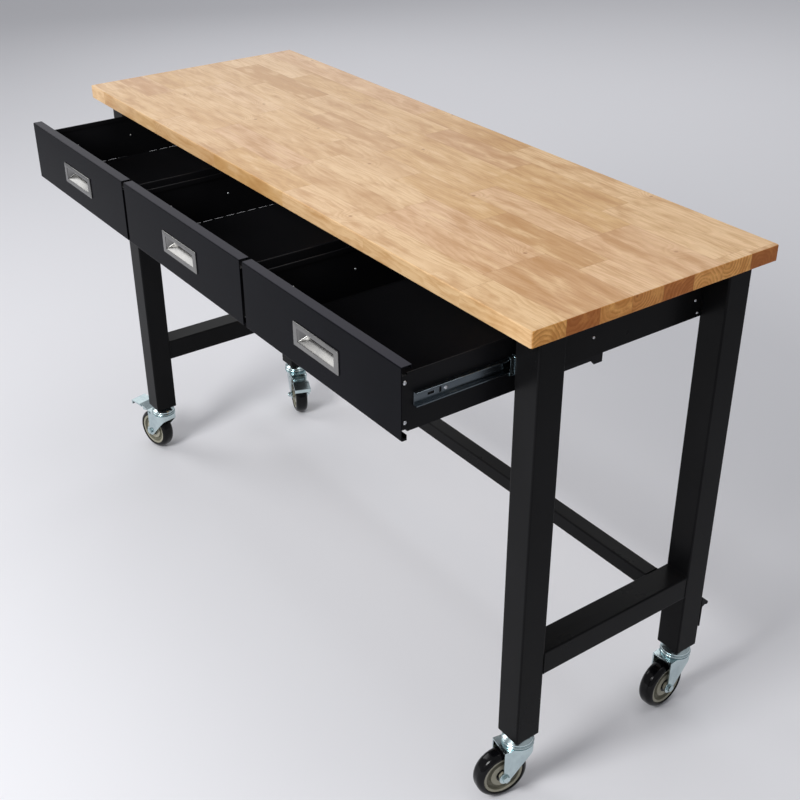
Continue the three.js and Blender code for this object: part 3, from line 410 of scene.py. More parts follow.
wood_top, g, shader, place = new_finish("wood_top", coat=OIL_COAT)
shader.inputs["Coat Roughness"].default_value = 0.25
shader.inputs["Specular IOR Level"].default_value = 0.2
x, y, z = g.separate(g.vector("SUBTRACT", place, tuple(top_low)))
across = g.math("DIVIDE", y, stave_width)
stave = g.math("FLOOR", g.math("MAXIMUM", across, 0.0))
stave_lot = g.separate(g.random(g.combine(stave, 3.7, 1.3))["Color"])
block_length = g.times_plus(stave_lot[0], BLOCK_SPREAD, SHORTEST_BLOCK)
along = g.math("DIVIDE", g.times_plus(stave_lot[1], FIRST_BLOCK_SHIFT, x), block_length)
block = g.math("FLOOR", along)
chance = g.random(g.combine(stave, block, 5.1))
lot = g.separate(chance["Color"])
other = g.separate(g.random(g.combine(block, stave, 9.4))["Color"])
print(STAVES, "staves of", round(stave_width / MM, 1), "mm")

# %% [markdown]
# ## The wood: knots and growth rings
# Each block was sawn from its own place in a log. It has a pith line at a drawn place, leaning a little, and the
# growth rings are circles about it, bent by noise and pushed aside by a few knots. Arcs and flames could be drawn
# on each face. As circles in space they come by themselves: arcs on the ends and flames on the top.

# %% Knots and growth rings
KNOTS_PER_METRE = 4.5
KNOT_RADIUS, KNOT_CORE, SWIRL_RADIUS, SWIRL_PUSH = 0.0050, 0.0015, 0.032, 0.022
RING_SPACING, RING_BEND = 7.0 * MM, 0.026
PITH_RADIUS = 4.0 * MM
HEART_RADIUS, HEART_CORE = 0.026, 0.004


def grain_place(drawn, shift, along_grain, across_grain):
    """The place, scaled so that noise is drawn out along the grain, and shifted by a lot for each block."""
    shifted = g.times_plus(drawn, shift, g.times(x, along_grain))
    return g.combine(shifted, g.times(y, across_grain), g.times(z, across_grain))


# About half of the cells round the scattered points have a knot.
scatter = g.node("ShaderNodeTexVoronoi", voronoi_dimensions="2D")
g.feed(scatter.inputs["Vector"], g.combine(x, y))
g.feed(scatter.inputs["Scale"], KNOTS_PER_METRE)
knot_reach = g.math("DIVIDE", scatter.outputs["Distance"], KNOTS_PER_METRE)
has_knot = g.remap(g.separate(scatter.outputs["Color"])[0], 0.48, 0.52)
swirl = g.times(has_knot, g.remap(knot_reach, SWIRL_RADIUS, 0.0))
knot = g.times(has_knot, g.remap(knot_reach, KNOT_RADIUS, KNOT_CORE))

# The place inside the block is measured from its pith line: lean * place along the block + a drawn shift.
stave_y = g.times(g.minus(g.math("FRACT", across), 0.5), stave_width)
block_x = g.times(g.minus(g.math("FRACT", along), 0.5), block_length)
pith_y = g.times_plus(block_x, g.times_plus(other[0], 0.16, -0.08), g.times_plus(lot[0], 0.052, -0.026))
pith_z = g.times_plus(block_x, g.times_plus(other[1], 0.20, -0.10), g.times_plus(lot[1], 0.050, -0.012))
bend = g.noise(grain_place(lot[2], 31.0, 9.0, 22.0), 1.0, 3.0, 0.50)
from_pith = g.vector("LENGTH", g.combine(0.0, g.minus(stave_y, pith_y), g.minus(z, pith_z)))
bent = g.times_plus(g.minus(bend, 0.5), RING_BEND, from_pith)
radius = g.times_plus(swirl, SWIRL_PUSH, bent)
wave = g.math("FRACT", g.math("DIVIDE", radius, RING_SPACING))
late = g.times(g.remap(wave, 0.10, 0.85), g.remap(wave, 1.0, 0.85))
pith = g.remap(from_pith, PITH_RADIUS, 0.3 * PITH_RADIUS)
heart = g.remap(from_pith, HEART_RADIUS, HEART_CORE)
print("growth rings", round(RING_SPACING / MM, 1), "mm apart")

# %% [markdown]
# ## The wood: colour
# The oiled wood runs from pale straw to honey and rose, with tan late rings, a cloudy figure, fine fibres and
# reddish pores. One colour ramp could do, but real blocks differ from each other. So each block first draws its
# own tone, and rings, figure, fibres and pores then change it in turn.

# %% Colour of the wood
PALE, HONEY, ROSE = (0.792, 0.542, 0.298, 1), (0.670, 0.415, 0.180, 1), (0.710, 0.445, 0.262, 1)
TAN, RUDDY = (0.480, 0.240, 0.078, 1), (0.330, 0.135, 0.038, 1)

fibre_place = grain_place(lot[1], 17.0, 14.0, 460.0)
fibre = g.noise(fibre_place, 1.0, 3.0, 0.6)
pore = g.remap(g.noise(g.vector("MULTIPLY", fibre_place, (2.2, 1.5, 1.5)), 1.0), 0.60, 0.72)
figure = g.noise(grain_place(lot[2], 23.0, 11.0, 42.0), 1.0, 4.0, 0.55)
broad = g.noise(g.combine(g.times(x, 3.0), g.times(y, 30.0), lot[2]), 1.0, 3.0)

# On the ends, which face along X, rings and pith are stronger.
facing = g.separate(g.node("ShaderNodeTexCoord").outputs["Normal"])
end_grain = g.remap(g.math("ABSOLUTE", facing[0]), 0.6, 0.9)
ring_depth = g.times_plus(end_grain, 0.46, 0.33)
pith_depth = g.times_plus(end_grain, 0.45, 0.25)

tone = g.mix(g.remap(chance["Value"], 0.10, 0.90), PALE, HONEY)
tone = g.mix(g.remap(other[1], 0.50, 0.95, 0.0, 0.75), tone, ROSE)
tone = g.mix(g.remap(other[2], 0.68, 0.95, 0.0, 0.55), tone, TAN)
tone = g.mix(g.times(late, ring_depth), tone, TAN)
tone = g.mix(g.remap(figure, 0.46, 0.72, 0.0, 0.72), tone, TAN)
tone = g.mix(g.remap(figure, 0.49, 0.30, 0.0, 0.78), tone, PALE)
tone = g.mix(g.remap(broad, 0.48, 0.80, 0.0, 0.40), tone, TAN)
tone = g.mix(g.remap(fibre, 0.48, 0.75, 0.0, 0.34), tone, TAN)
tone = g.mix(g.times(pore, 0.34), tone, RUDDY)
tone = g.mix(g.times(g.times(heart, end_grain), 0.35), tone, TAN)
tone = g.mix(g.math("MAXIMUM", g.times(pith, pith_depth), g.times(knot, 0.70)), tone, RUDDY)
print("wood of five tones")

# %% [markdown]
# ## The wood: ends, glue lines and relief
# End grain drinks more oil than the top, some blocks more than others, so the ends are darker and hardly shine.
# They could have a material of their own. A mask from the face's direction keeps one finish for the whole slab, so
# the rings meet at the edges. Thin dark seams mark where staves and blocks are glued.

# %% Ends, glue lines and relief
SOME_OIL, MUCH_OIL = (1.22, 0.93, 0.49, 1), (0.81, 0.46, 0.18, 1)
SEAM_WIDTH, SEAM_CORE, SEAM_DEPTH = 0.0008, 0.0002, 0.30

oil = g.mix(g.remap(other[0], 0.40, 0.65), SOME_OIL, MUCH_OIL)
tone = g.mix(end_grain, tone, g.mix(1.0, tone, oil, "MULTIPLY"))
g.feed(shader.inputs["Coat Weight"], g.remap(end_grain, 0.0, 1.0, OIL_COAT, END_OIL_COAT))

level_face = g.remap(g.math("ABSOLUTE", facing[1]), 0.9, 0.6)
seam_y = g.minus(stave_width / 2, g.math("ABSOLUTE", stave_y))
seam_x = g.minus(g.times(block_length, 0.5), g.math("ABSOLUTE", block_x))
seam = g.times(g.remap(g.math("MINIMUM", seam_y, seam_x), SEAM_WIDTH, SEAM_CORE), level_face)
tone = g.mix(g.times(seam, SEAM_DEPTH), tone, RUDDY)
relief = g.minus(g.times(fibre, 0.4), g.math("ADD", pore, g.times(seam, 1.5)))
cover(g, shader, tone, g.remap(fibre, 0.3, 0.7, 0.42, 0.56), g.bump(relief, 0.08, 0.0003))
print("oiled the wood with", len(wood_top.node_tree.nodes), "nodes")

# %% [markdown]
# ## Finishes on the solid nodes
# Each node names its finish in the record. No real sheet or tube has a perfectly sharp edge. The edges could be
# rounded in the solids, at the cost of many faces. A very small bevel modifier does it here instead, on the folded
# and welded nodes, and catches a line of light along each edge.

# %% Dress the nodes
finishes = dict(
    wood_top=wood_top, frame_paint=frame_paint, drawer_paint=drawer_paint, tray_paint=tray_paint,
    pull_nickel=pull_nickel, slide_zinc=slide_zinc, caster_zinc=caster_zinc, hub_plastic=hub_plastic,
    tyre_rubber=tyre_rubber,
)
EDGE = 0.5 * MM
EDGE_ANGLE = math.radians(50)
BEVELLED = ("leg", "slide_", "side_stretcher", "rear_stretcher", "drawer_front", "caster_fork", "caster_axle",
            "brake_pedal", "rear_hook")

for part in frame["record"]["subparts"]:
    node = nodes[part["node"]]
    for slot in node.material_slots:
        slot.material = finishes[part["material_slot"]]
    if part["node"].startswith(BEVELLED):
        weld = node.modifiers.new("weld", "WELD")
        weld.merge_threshold = MERGE_DISTANCE
        bevel = node.modifiers.new("edge", "BEVEL")
        bevel.width = EDGE
        bevel.segments = 2
        bevel.limit_method = "ANGLE"
        bevel.angle_limit = EDGE_ANGLE


# %% [markdown]
# ## Turned shapes
# Tyres, wheel cores and bearing races are round about an axis. Blender's Spin or Screw could turn them. A formula is
# chosen because it takes axis and centre straight from the joint, so that a wheel runs true. The corners of a
# profile are eased first, as no moulded edge is sharp.

# %% Ease, turn and merge
MOST_OF_SIDE = 0.45  # of a side's length that the curve at one corner may take


def eased(profile, radius, steps=4):
    """A closed profile whose corners are drawn round: each corner becomes a small quadratic curve that starts and
    ends `radius` away from it, or less on a short side."""
    corner = np.asarray(profile, float)
    before, after = np.roll(corner, 1, axis=0) - corner, np.roll(corner, -1, axis=0) - corner
    reach = [np.minimum(radius, MOST_OF_SIDE * np.linalg.norm(d, axis=1))[:, None] for d in (before, after)]
    start = corner + before / np.linalg.norm(before, axis=1)[:, None] * reach[0]
    end = corner + after / np.linalg.norm(after, axis=1)[:, None] * reach[1]
    t = np.linspace(0, 1, steps + 1)[None, :, None]
    curve = (1 - t) ** 2 * start[:, None] + 2 * t * (1 - t) * corner[:, None] + t**2 * end[:, None]
    return curve.reshape(-1, 2)


def revolved(profile, centre, axis, steps=72):
    """A closed profile of (radius, height) turned about an axis: centre + height * axis + radius * direction(t)."""
    axis = np.asarray(axis, float) / np.linalg.norm(axis)
    first = np.cross(axis, [0, 0, 1] if abs(axis[2]) < 0.9 else [1, 0, 0])
    first /= np.linalg.norm(first)
    second = np.cross(axis, first)
    t = np.linspace(0, 2 * math.pi, steps, endpoint=False)[None, :, None]
    direction = np.cos(t) * first + np.sin(t) * second
    radius, height = profile[:, 0, None, None], profile[:, 1, None, None]
    points = np.asarray(centre) + height * axis + radius * direction
    return points.reshape(-1, 3), grid_quads(len(profile), steps, wrap_rows=True)


def merged(*surfaces):
    """Several surfaces as one: the points are stacked, and the quads are shifted by the points before them."""
    starts = np.cumsum([0] + [len(points) for points, _ in surfaces[:-1]])
    points = np.vstack([points for points, _ in surfaces])
    return points, np.vstack([quads + start for (_, quads), start in zip(surfaces, starts)])


print("ready to turn profiles")


# %% [markdown]
# ## Wheels
# A wheel is a rubber tyre on a plastic core, with a thin black rubber ring on each face of the boss, and the fork
# holds it between two round eyes. The faceted solids could stay, but the wheels are close to the eye. So profiles
# turned about the wheel's axis take their place. The groove of a core gets the darker plastic, face by face, by its
# distance from the axis, as a painted shade.

# %% Profiles of a wheel
WHEEL_RADIUS = 51 * MM
TYRE_HALF = 16 * MM
TYRE_BORE = 40 * MM
SHOULDER = 10 * MM
BEAD_STEP = 1 * MM
CORE_FACE = ((39.7, 14), (34.7, 14), (32.2, 8), (26.5, 8), (24, 13), (9.5, 13), (9.5, 19.2), (4.5, 19.2))
CORE_EASE, RING_EASE = 0.9 * MM, 0.4 * MM
GROOVE_FROM, GROOVE_TO, GROOVE_TOP = 24.4 * MM, 34.4 * MM, 12.8 * MM


def tyre_profile():
    """Two elliptic shoulders joined by a flat tread: r = R - s + s sin(a), w = half * (1/4 + 3/4 cos(a))."""
    a = np.linspace(0, math.pi / 2, 14)
    side_r = WHEEL_RADIUS - SHOULDER + SHOULDER * np.sin(a)
    side_w = TYRE_HALF * (0.25 + 0.75 * np.cos(a))
    shoulder = np.stack([side_r, side_w], axis=1)
    bead = np.array([[TYRE_BORE, TYRE_HALF - BEAD_STEP]])
    half = np.vstack([bead, shoulder])
    return np.vstack([half, half[::-1] * [1, -1]])


def core_profile():
    """Rim, sloping recess, plate and boss in millimetres on one face, and their mirror image on the other."""
    face = np.array(CORE_FACE)
    return eased(np.vstack([face, face[::-1] * [1, -1]]) * MM, CORE_EASE)


def ring_pair(centre, axis, inner, outer, near, far, steps=72):
    """Two eased rings, one on each face: from one radius to another and one height to another, in millimetres."""
    rings = []
    for face in (-1, 1):
        square = [(inner, face * near), (outer, face * near), (outer, face * far), (inner, face * far)]
        rings.append(revolved(eased(np.array(square) * MM, RING_EASE), centre, axis, steps))
    return merged(*rings)


def shade_recess(core, centre, axis):
    """Faces of a core whose middle lies in the groove, by radius and by height from the wheel's middle."""
    middle = np.empty(3 * len(core.data.polygons))
    core.data.polygons.foreach_get("center", middle)
    offset = middle.reshape(-1, 3) - centre
    height = offset @ (np.asarray(axis) / np.linalg.norm(axis))
    radius = np.sqrt((offset**2).sum(1) - height**2)
    groove = (radius > GROOVE_FROM) & (radius < GROOVE_TO) & (abs(height) < GROOVE_TOP)
    # Faces in the groove get the darker plastic, a painted shade.
    core.data.materials.append(hub_groove_painted_shade)
    core.data.polygons.foreach_set("material_index", groove.astype(np.int32))


print("a tyre has", len(tyre_profile()), "points across, a core", len(core_profile()))

# %% Tyres, cores, seals and fork eyes
# A thin black rubber ring on each face of the boss, as radii and heights in millimetres.
BOSS_RING = {"inner": 9.4, "outer": 14.2, "near": 12.9, "far": 13.9}
FORK_EYE = {"inner": 4.2, "outer": 12.54, "near": 19.66, "far": 22.74}

for name in CASTERS:
    spin = joints[f"wheel_{name}_spin"]
    centre, axis, body = spin["pos_m"], spin["axis"], f"wheel_{name}"
    turned = revolved(tyre_profile(), centre, axis, 96)
    make_piece(f"tyre_{name}", *turned, tyre_rubber, body, "tyre_rubber", [f"wheel_tyre_{name}"], sharp=50)
    turned = revolved(core_profile(), centre, axis)
    core = make_piece(f"core_{name}", *turned, hub_plastic, body, "hub_plastic", [f"wheel_hub_{name}"])
    shade_recess(core, centre, axis)
    make_piece(f"boss_rings_{name}", *ring_pair(centre, axis, **BOSS_RING), tyre_rubber, body, "tyre_rubber")
    eyes = ring_pair(centre, axis, **FORK_EYE, steps=48)
    make_piece(f"fork_eyes_{name}", *eyes, caster_zinc, f"caster_{name}", "caster_zinc")
print("turned", 4 * len(CASTERS), "wheel pieces")

# %% [markdown]
# ## Swivel bearings
# Above each fork sit two pressed races with a ring of balls between them. The upper one belongs to the stem in the
# leg, the lower one to the fork's crown. They could be one piece, but then half of it would move wrongly when the
# caster swings. So they are two turned shapes about the swivel's own axis, each on its own body.

# %% Races
UP = (0, 0, 1)
STEM_EASE, RACE_EASE = 0.7 * MM, 0.9 * MM
# Kingpin head, kingpin, upper race with its sloping top, collar and stem, as radius and height in millimetres.
STEM = (
    (0.01, 105.1), (10, 105.1), (10, 109.6), (6, 109.6), (6, 119.4), (27, 119.4), (28.5, 120.8), (28.5, 123.4),
    (17, 130.7), (17, 134.7), (6, 134.7), (6, 165), (0.01, 165),
)
# A ring just outside the solid race on the crown: narrow at its foot, widest at half its height.
LOWER_RACE = ((17.8, 113.05), (27.15, 113.05), (30.15, 116), (30.15, 117.1), (28.1, 119.15), (17.8, 119.15))

for name in CASTERS:
    centre = np.array(joints[f"caster_{name}_swivel"]["pos_m"]) * [1, 1, 0]
    turned = revolved(eased(np.array(STEM) * MM, STEM_EASE), centre, UP)
    make_piece(f"stem_{name}", *turned, caster_zinc, "frame", "caster_zinc", [f"caster_stem_{name}"])
    turned = revolved(eased(np.array(LOWER_RACE) * MM, RACE_EASE), centre, UP)
    make_piece(f"lower_race_{name}", *turned, caster_zinc, f"caster_{name}", "caster_zinc")
print("turned", 2 * len(CASTERS), "races")

# %% [markdown]
# ## Recessed pulls
# A pull is one pressed sheet: a bevelled frame round a scoop whose floor climbs to the back. It could be cut out of
# a block with booleans, which leave untidy faces. Here it is a stack of rounded rectangles, each with its own size,
# depth and height, and the surface is the skin through them, so that its edges stay evenly round.

# %% Pulls
PULL_WIDTH, PULL_HEIGHT = 130 * MM, 42 * MM
MOUTH_WIDTH, MOUTH_HEIGHT = 106 * MM, 24 * MM
CUP_WALL = 1.2 * MM
FRAME_DEPTH = 2 * MM
PULL_EDGE = 1.0 * MM
PULL_CORNER = 1.5 * MM
FLOOR_RISE = 11 * MM
DRAW_IN = 9 * MM


def rounded_rectangle(width, height, radius, steps=5):
    """Points (u, v) round a rectangle: four quarter circles, each about its own corner's centre."""
    turn = np.linspace(0, math.pi / 2, steps + 1)
    quarter = np.arange(4)[:, None] * math.pi / 2 - math.pi / 2
    side_u = np.array([1, 1, -1, -1])[:, None] * (width / 2 - radius)
    side_v = np.array([-1, 1, 1, -1])[:, None] * (height / 2 - radius)
    u = side_u + radius * np.cos(quarter + turn)
    v = side_v + radius * np.sin(quarter + turn)
    return np.stack([u.ravel(), v.ravel()], axis=1)


def pull_rings(face, back):
    """Rows of (width, height, depth, rise). An edge is a quarter circle; the scoop narrows evenly as it deepens,
    so that its floor and ends are flat slopes."""
    a = np.linspace(0, math.pi / 2, 5)
    out_step, in_step = 2 * PULL_EDGE * (1 - np.cos(a)), 2 * PULL_EDGE * (1 - np.sin(a))
    seat = face + FRAME_DEPTH
    deep = np.linspace(0, 1, 5)
    zero = np.zeros_like(a)

    def rows(width, height, depth, rise):
        return np.stack(np.broadcast_arrays(width, height, depth, rise), axis=1)

    scoop_depth = face + PULL_EDGE + (back - face - PULL_EDGE) * deep
    scoop_width = MOUTH_WIDTH - 2 * DRAW_IN * deep
    scoop_height = MOUTH_HEIGHT - FLOOR_RISE * deep
    shell = 2 * CUP_WALL
    return np.vstack([
        [(MM, MM, back + CUP_WALL, FLOOR_RISE / 2)],
        rows(scoop_width[::-1] + shell, scoop_height[::-1] + shell, scoop_depth[::-1] + CUP_WALL,
             FLOOR_RISE / 2 * deep[::-1])[:-1],
        [(MOUTH_WIDTH + shell, MOUTH_HEIGHT + shell, seat, 0)],
        [(PULL_WIDTH, PULL_HEIGHT, seat, 0)],
        rows(PULL_WIDTH - out_step, PULL_HEIGHT - out_step, face + PULL_EDGE * (1 - np.sin(a)), zero),
        rows(MOUTH_WIDTH + in_step[::-1], MOUTH_HEIGHT + in_step[::-1],
             face + PULL_EDGE * (1 - np.sin(a[::-1])), zero)[1:-1],
        rows(scoop_width, scoop_height, scoop_depth, FLOOR_RISE / 2 * deep),
        [(MM, MM, back, FLOOR_RISE / 2)],
    ])


for name in DRAWERS:
    low, high = box_of(f"drawer_pull_{name}")
    middle = (low + high) / 2
    rings = pull_rings(low[1], high[1] - CUP_WALL)
    corner = np.minimum(PULL_CORNER, MOST_OF_SIDE * rings[:, 1])
    outline = np.stack([rounded_rectangle(w, h, r) for w, h, r in zip(rings[:, 0], rings[:, 1], corner)])
    skin = np.empty((*outline.shape[:2], 3))
    skin[..., 0] = middle[0] + outline[..., 0]
    skin[..., 1] = rings[:, None, 2]
    skin[..., 2] = middle[2] + outline[..., 1] + rings[:, None, 3]
    quads = grid_quads(*outline.shape[:2])
    make_piece(f"pull_{name}", skin.reshape(-1, 3), quads, pull_nickel, f"drawer_{name}", "pull_nickel",
               [f"drawer_pull_{name}"], sharp=40)
print("pressed", len(DRAWERS), "pulls")

# %% [markdown]
# ## Screws
# Small round-headed screws hold the slides, the drawer fronts and the housing. Each could be an object of its own,
# copied to its place. Here a head is a disc of points whose height falls off towards the rim, with a cross sunk in
# its middle, and one array holds a copy of the disc for every place. So all the screws of one body are one piece.

# %% A set of screw heads
RINGS, SPOKES = 9, 24
CROSS_HALF, CROSS_REACH, CROSS_DEPTH = 0.13, 0.6, 0.28


def repeated(points, quads):
    """Many copies in one: points has one row of points for each copy, and the quads shift by a copy's size."""
    copies, count = points.shape[:2]
    shifted = quads[None] + (np.arange(copies) * count)[:, None, None]
    return points.reshape(-1, 3), shifted.reshape(-1, 4)


def screw_heads(places, outward, radius):
    """Domes h = 0.55 R (1 - 0.75 rho^2) on the plane across `outward`, lowered in a cross, with a skirt down to
    the plane."""
    outward = np.asarray(outward, float)
    u = np.cross(outward, [0, 0, 1] if abs(outward[2]) < 0.9 else [1, 0, 0])
    v = np.cross(outward, u)
    rho, turn = np.meshgrid(np.linspace(0, 1, RINGS), np.linspace(0, 2 * math.pi, SPOKES, endpoint=False),
                            indexing="ij")
    du, dv = rho * np.cos(turn), rho * np.sin(turn)
    height = 0.55 * (1 - 0.75 * rho**2)
    cross = (np.minimum(abs(du), abs(dv)) < CROSS_HALF) & (rho < CROSS_REACH)
    height = np.where(cross, height - CROSS_DEPTH, height)
    height[-1] = 0.0
    disc = radius * (du[..., None] * u + dv[..., None] * v + height[..., None] * outward)
    points = np.asarray(places, float)[:, None] + disc.reshape(1, -1, 3)
    return repeated(points, grid_quads(RINGS, SPOKES))


print("a head has", RINGS * SPOKES, "points")

# %% Screws of the drawers and panels
TRAY_SHEET = 1.5 * MM
EAR_SCREW, INSIDE_SCREW, MEMBER_SCREW, PANEL_SCREW = 3.5 * MM, 2.1 * MM, 3.4 * MM, 2.5 * MM
EAR_SCREW_INSET = 15 * MM
EAR_SCREW_Z = (838 * MM, 904 * MM)
SLIDE_SCREW_Y = (88 * MM, 215 * MM, 340 * MM)
PANEL_SCREW_PLACES = ((-0.0675, 0.0714), (0.162, 0.072), (0.170, 0.0967))

for name in DRAWERS:
    low, high = box_of(f"drawer_tray_{name}")
    front = box_of(f"drawer_front_{name}")[0][1]
    slide_low, slide_high = box_of(f"slide_drawer_{name}_left")
    middle_z = (slide_low[2] + slide_high[2]) / 2
    heads = []
    for side, wall in ((-1, low[0]), (1, high[0])):
        ear = [(wall, front + EAR_SCREW_INSET, level) for level in EAR_SCREW_Z]
        heads.append(screw_heads(ear, (side, 0, 0), EAR_SCREW))
        inside = [(wall - side * TRAY_SHEET, front + reach, middle_z) for reach in SLIDE_SCREW_Y]
        heads.append(screw_heads(inside, (-side, 0, 0), INSIDE_SCREW))
        member = [(wall + side * TRAY_SHEET, front + reach, middle_z) for reach in SLIDE_SCREW_Y]
        heads.append(screw_heads(member, (side, 0, 0), MEMBER_SCREW))
    make_piece(f"drawer_screws_{name}", *merged(*heads), screw_zinc, f"drawer_{name}", "caster_zinc")

panel_heads = []
for side, node in ((-1, "side_panel_left"), (1, "side_panel_right")):
    low, high = box_of(node)
    outside = high[0] if side > 0 else low[0]
    middle_y = (low[1] + high[1]) / 2
    places = [(outside, middle_y + along_panel, high[2] - drop) for along_panel, drop in PANEL_SCREW_PLACES]
    panel_heads.append(screw_heads(places, (side, 0, 0), PANEL_SCREW))
make_piece("panel_screws", *merged(*panel_heads), screw_zinc, "frame", "caster_zinc")
print("set the screws of", len(DRAWERS), "drawers and two panels")

# %% [markdown]
# ## Welds
# The stretchers are welded to the legs, and to each other, with a bead all the way round. The bead could be painted
# on as bump, but it would vanish in the mesh. It is a thin tube along the outline of the joint, whose radius swells
# and falls a little, as a welder's hand leaves it.

# %% Weld beads
BEAD_RADIUS = 1.5 * MM
BEAD_CORNER = 3 * MM
BEAD_STEPS = 24
SHORTEST_STEP = 0.2 * MM
RIPPLE_PITCH, RIPPLE = 3.5 * MM, 0.2


def tube_along(path, radius, steps=8):
    """A bead along a closed path: at each point a circle across the path, whose radius may vary along it."""
    ahead = np.roll(path, -1, axis=0) - np.roll(path, 1, axis=0)
    ahead /= np.linalg.norm(ahead, axis=1)[:, None]
    plane = np.cross(path[0] - path.mean(0), ahead[0])
    plane /= np.linalg.norm(plane)
    outward = np.cross(ahead, plane)
    t = np.linspace(0, 2 * math.pi, steps, endpoint=False)[None, :, None]
    ring = np.cos(t) * outward[:, None] + np.sin(t) * plane
    points = path[:, None] + np.broadcast_to(radius, len(path))[:, None, None] * ring
    return points.reshape(-1, 3), grid_quads(len(path), steps, wrap_rows=True)


def weld_round(middle, width, height, axis):
    """A bead along a rounded rectangle across an axis; its radius is r (1 + ripple * sin(2 pi s / pitch))."""
    outline = rounded_rectangle(width, height, BEAD_CORNER, 6)
    t = np.arange(BEAD_STEPS)[None, :, None] / BEAD_STEPS
    dense = (outline[:, None] * (1 - t) + np.roll(outline, -1, axis=0)[:, None] * t).reshape(-1, 2)
    dense = dense[np.linalg.norm(np.roll(dense, -1, axis=0) - dense, axis=1) > SHORTEST_STEP]
    length = np.cumsum(np.linalg.norm(dense - np.roll(dense, 1, axis=0), axis=1))
    radius = BEAD_RADIUS * (1 + RIPPLE * np.sin(2 * math.pi * length / RIPPLE_PITCH))
    path = np.zeros((len(dense), 3))
    path[:, 1 - axis] = dense[:, 0]
    path[:, 2] = dense[:, 1]
    return tube_along(path + middle, radius)


ALONG_X, ALONG_Y = 0, 1
beads = []
for node, axis in (("side_stretcher_left", ALONG_Y), ("side_stretcher_right", ALONG_Y), ("rear_stretcher", ALONG_X)):
    low, high = box_of(node)
    middle, size = (low + high) / 2, high - low
    for end in (low[axis], high[axis]):
        middle[axis] = end
        beads.append(weld_round(middle, size[1 - axis], size[2], axis))
make_piece("weld_beads", *merged(*beads), frame_paint, "frame", "frame_paint", sharp=80)
print(len(beads), "welds")

# %% [markdown]
# ## Hems and folds
# The long edges of a tray are folded over, so they are round and catch the light, and its floor meets its sides in
# a round fold. A bevel on the whole tray could round them, but the slots along the fold would break it. So a hem is
# half a circle carried along the edge, and a fold is a hollow quarter circle, which also narrows the slots.

# %% Hems and folds
HEM_RADIUS = 1.5 * MM
FOLD_RADIUS = 2.75 * MM
FOLD_BACK = -0.1 * MM
STOP_DROP = 8 * MM
HEM_GAP, FOLD_GAP = 0.4 * MM, 1.6 * MM


def strip_along(across, up, x, start, end, level):
    """A strip along Y: the outline (x + across, level + up) from start to end, drawn in to a point at each end."""
    size = np.array([0.0, 1.0, 1.0, 0.0])[:, None]
    points = np.empty((4, len(across), 3))
    points[..., 0] = x + across * size
    points[..., 1] = np.array([start, start, end, end])[:, None]
    points[..., 2] = level + up * size
    return points.reshape(-1, 3), grid_quads(4, len(across))


def hem(x, start, end, level):
    """A half-round strip: x + r cos(a), level + 0.8 r sin(a)."""
    a = np.linspace(0, math.pi, 9)
    return strip_along(HEM_RADIUS * np.cos(a), 0.8 * HEM_RADIUS * np.sin(a), x, start, end, level)


def fold(x, inward, start, end, level):
    """A strip in the corner: x + r (1 - cos(a)) inward, level + r (1 - sin(a)), closed just behind the corner."""
    a = np.linspace(0, math.pi / 2, 7)
    across = np.append(FOLD_RADIUS * (1 - np.cos(a)), FOLD_BACK)
    up = np.append(FOLD_RADIUS * (1 - np.sin(a)), FOLD_BACK)
    return strip_along(inward * across, up, x, start, end, level)


for name in DRAWERS:
    low, high = box_of(f"drawer_tray_{name}")
    start = box_of(f"drawer_front_{name}")[1][1] + HEM_GAP
    strips = [hem(x, start, high[1], high[2]) for x in (low[0] + HEM_RADIUS, high[0] - HEM_RADIUS)]
    first, last = start + FOLD_GAP, high[1] - TRAY_SHEET
    floor_level = low[2] + STOP_DROP + TRAY_SHEET
    for wall, inward in ((low[0] + TRAY_SHEET, 1), (high[0] - TRAY_SHEET, -1)):
        strips.append(fold(wall, inward, first, last, floor_level))
    make_piece(f"hems_and_folds_{name}", *merged(*strips), tray_paint, f"drawer_{name}", "tray_paint", sharp=60)
print("rolled", 2 * len(DRAWERS), "hems and as many folds")

# %% [markdown]
# ## The lip of the hook
# The hook behind the rear leg is bent from strip, and its free end is rolled so that it does not cut. The roll
# could be part of the solid hook, but its facets would show. It is a short eased cylinder, turned about a line
# along X.

# %% Hook lip
LIP_RADIUS = 4.0 * MM
LIP_EASE = 1.2 * MM
LIP_OVERHANG = 0.1 * MM
LIP_INSET, LIP_DROP = 1.4 * MM, 14 * MM + 2.6 * MM
POLE = 0.01 * MM

low, high = box_of("rear_hook")
half = (high[0] - low[0]) / 2 + LIP_OVERHANG
lip_profile = np.array([(POLE, -half), (LIP_RADIUS, -half), (LIP_RADIUS, half), (POLE, half)])
lip_centre = ((low[0] + high[0]) / 2, high[1] - LIP_INSET, high[2] - LIP_DROP)
turned = revolved(eased(lip_profile, LIP_EASE), lip_centre, (1, 0, 0), 32)
make_piece("hook_lip", *turned, frame_paint, "frame", "frame_paint")
print("rolled the lip of the hook,", round(2 * half / MM, 1), "mm wide")

# %% [markdown]
# ## Ball cages
# Between the two members of a slide run small steel balls, held apart by a bent strip, which shows at the mouth of
# the slide when a drawer is drawn out. The balls could be instances of one sphere. One array holds them all instead,
# so that a drawer's cages are one piece. The strip is an open line with a thickness, carried along the slide.

# %% Strips and balls
BALL_RADIUS = 2.0 * MM
BALL_PITCH = 6.5 * MM


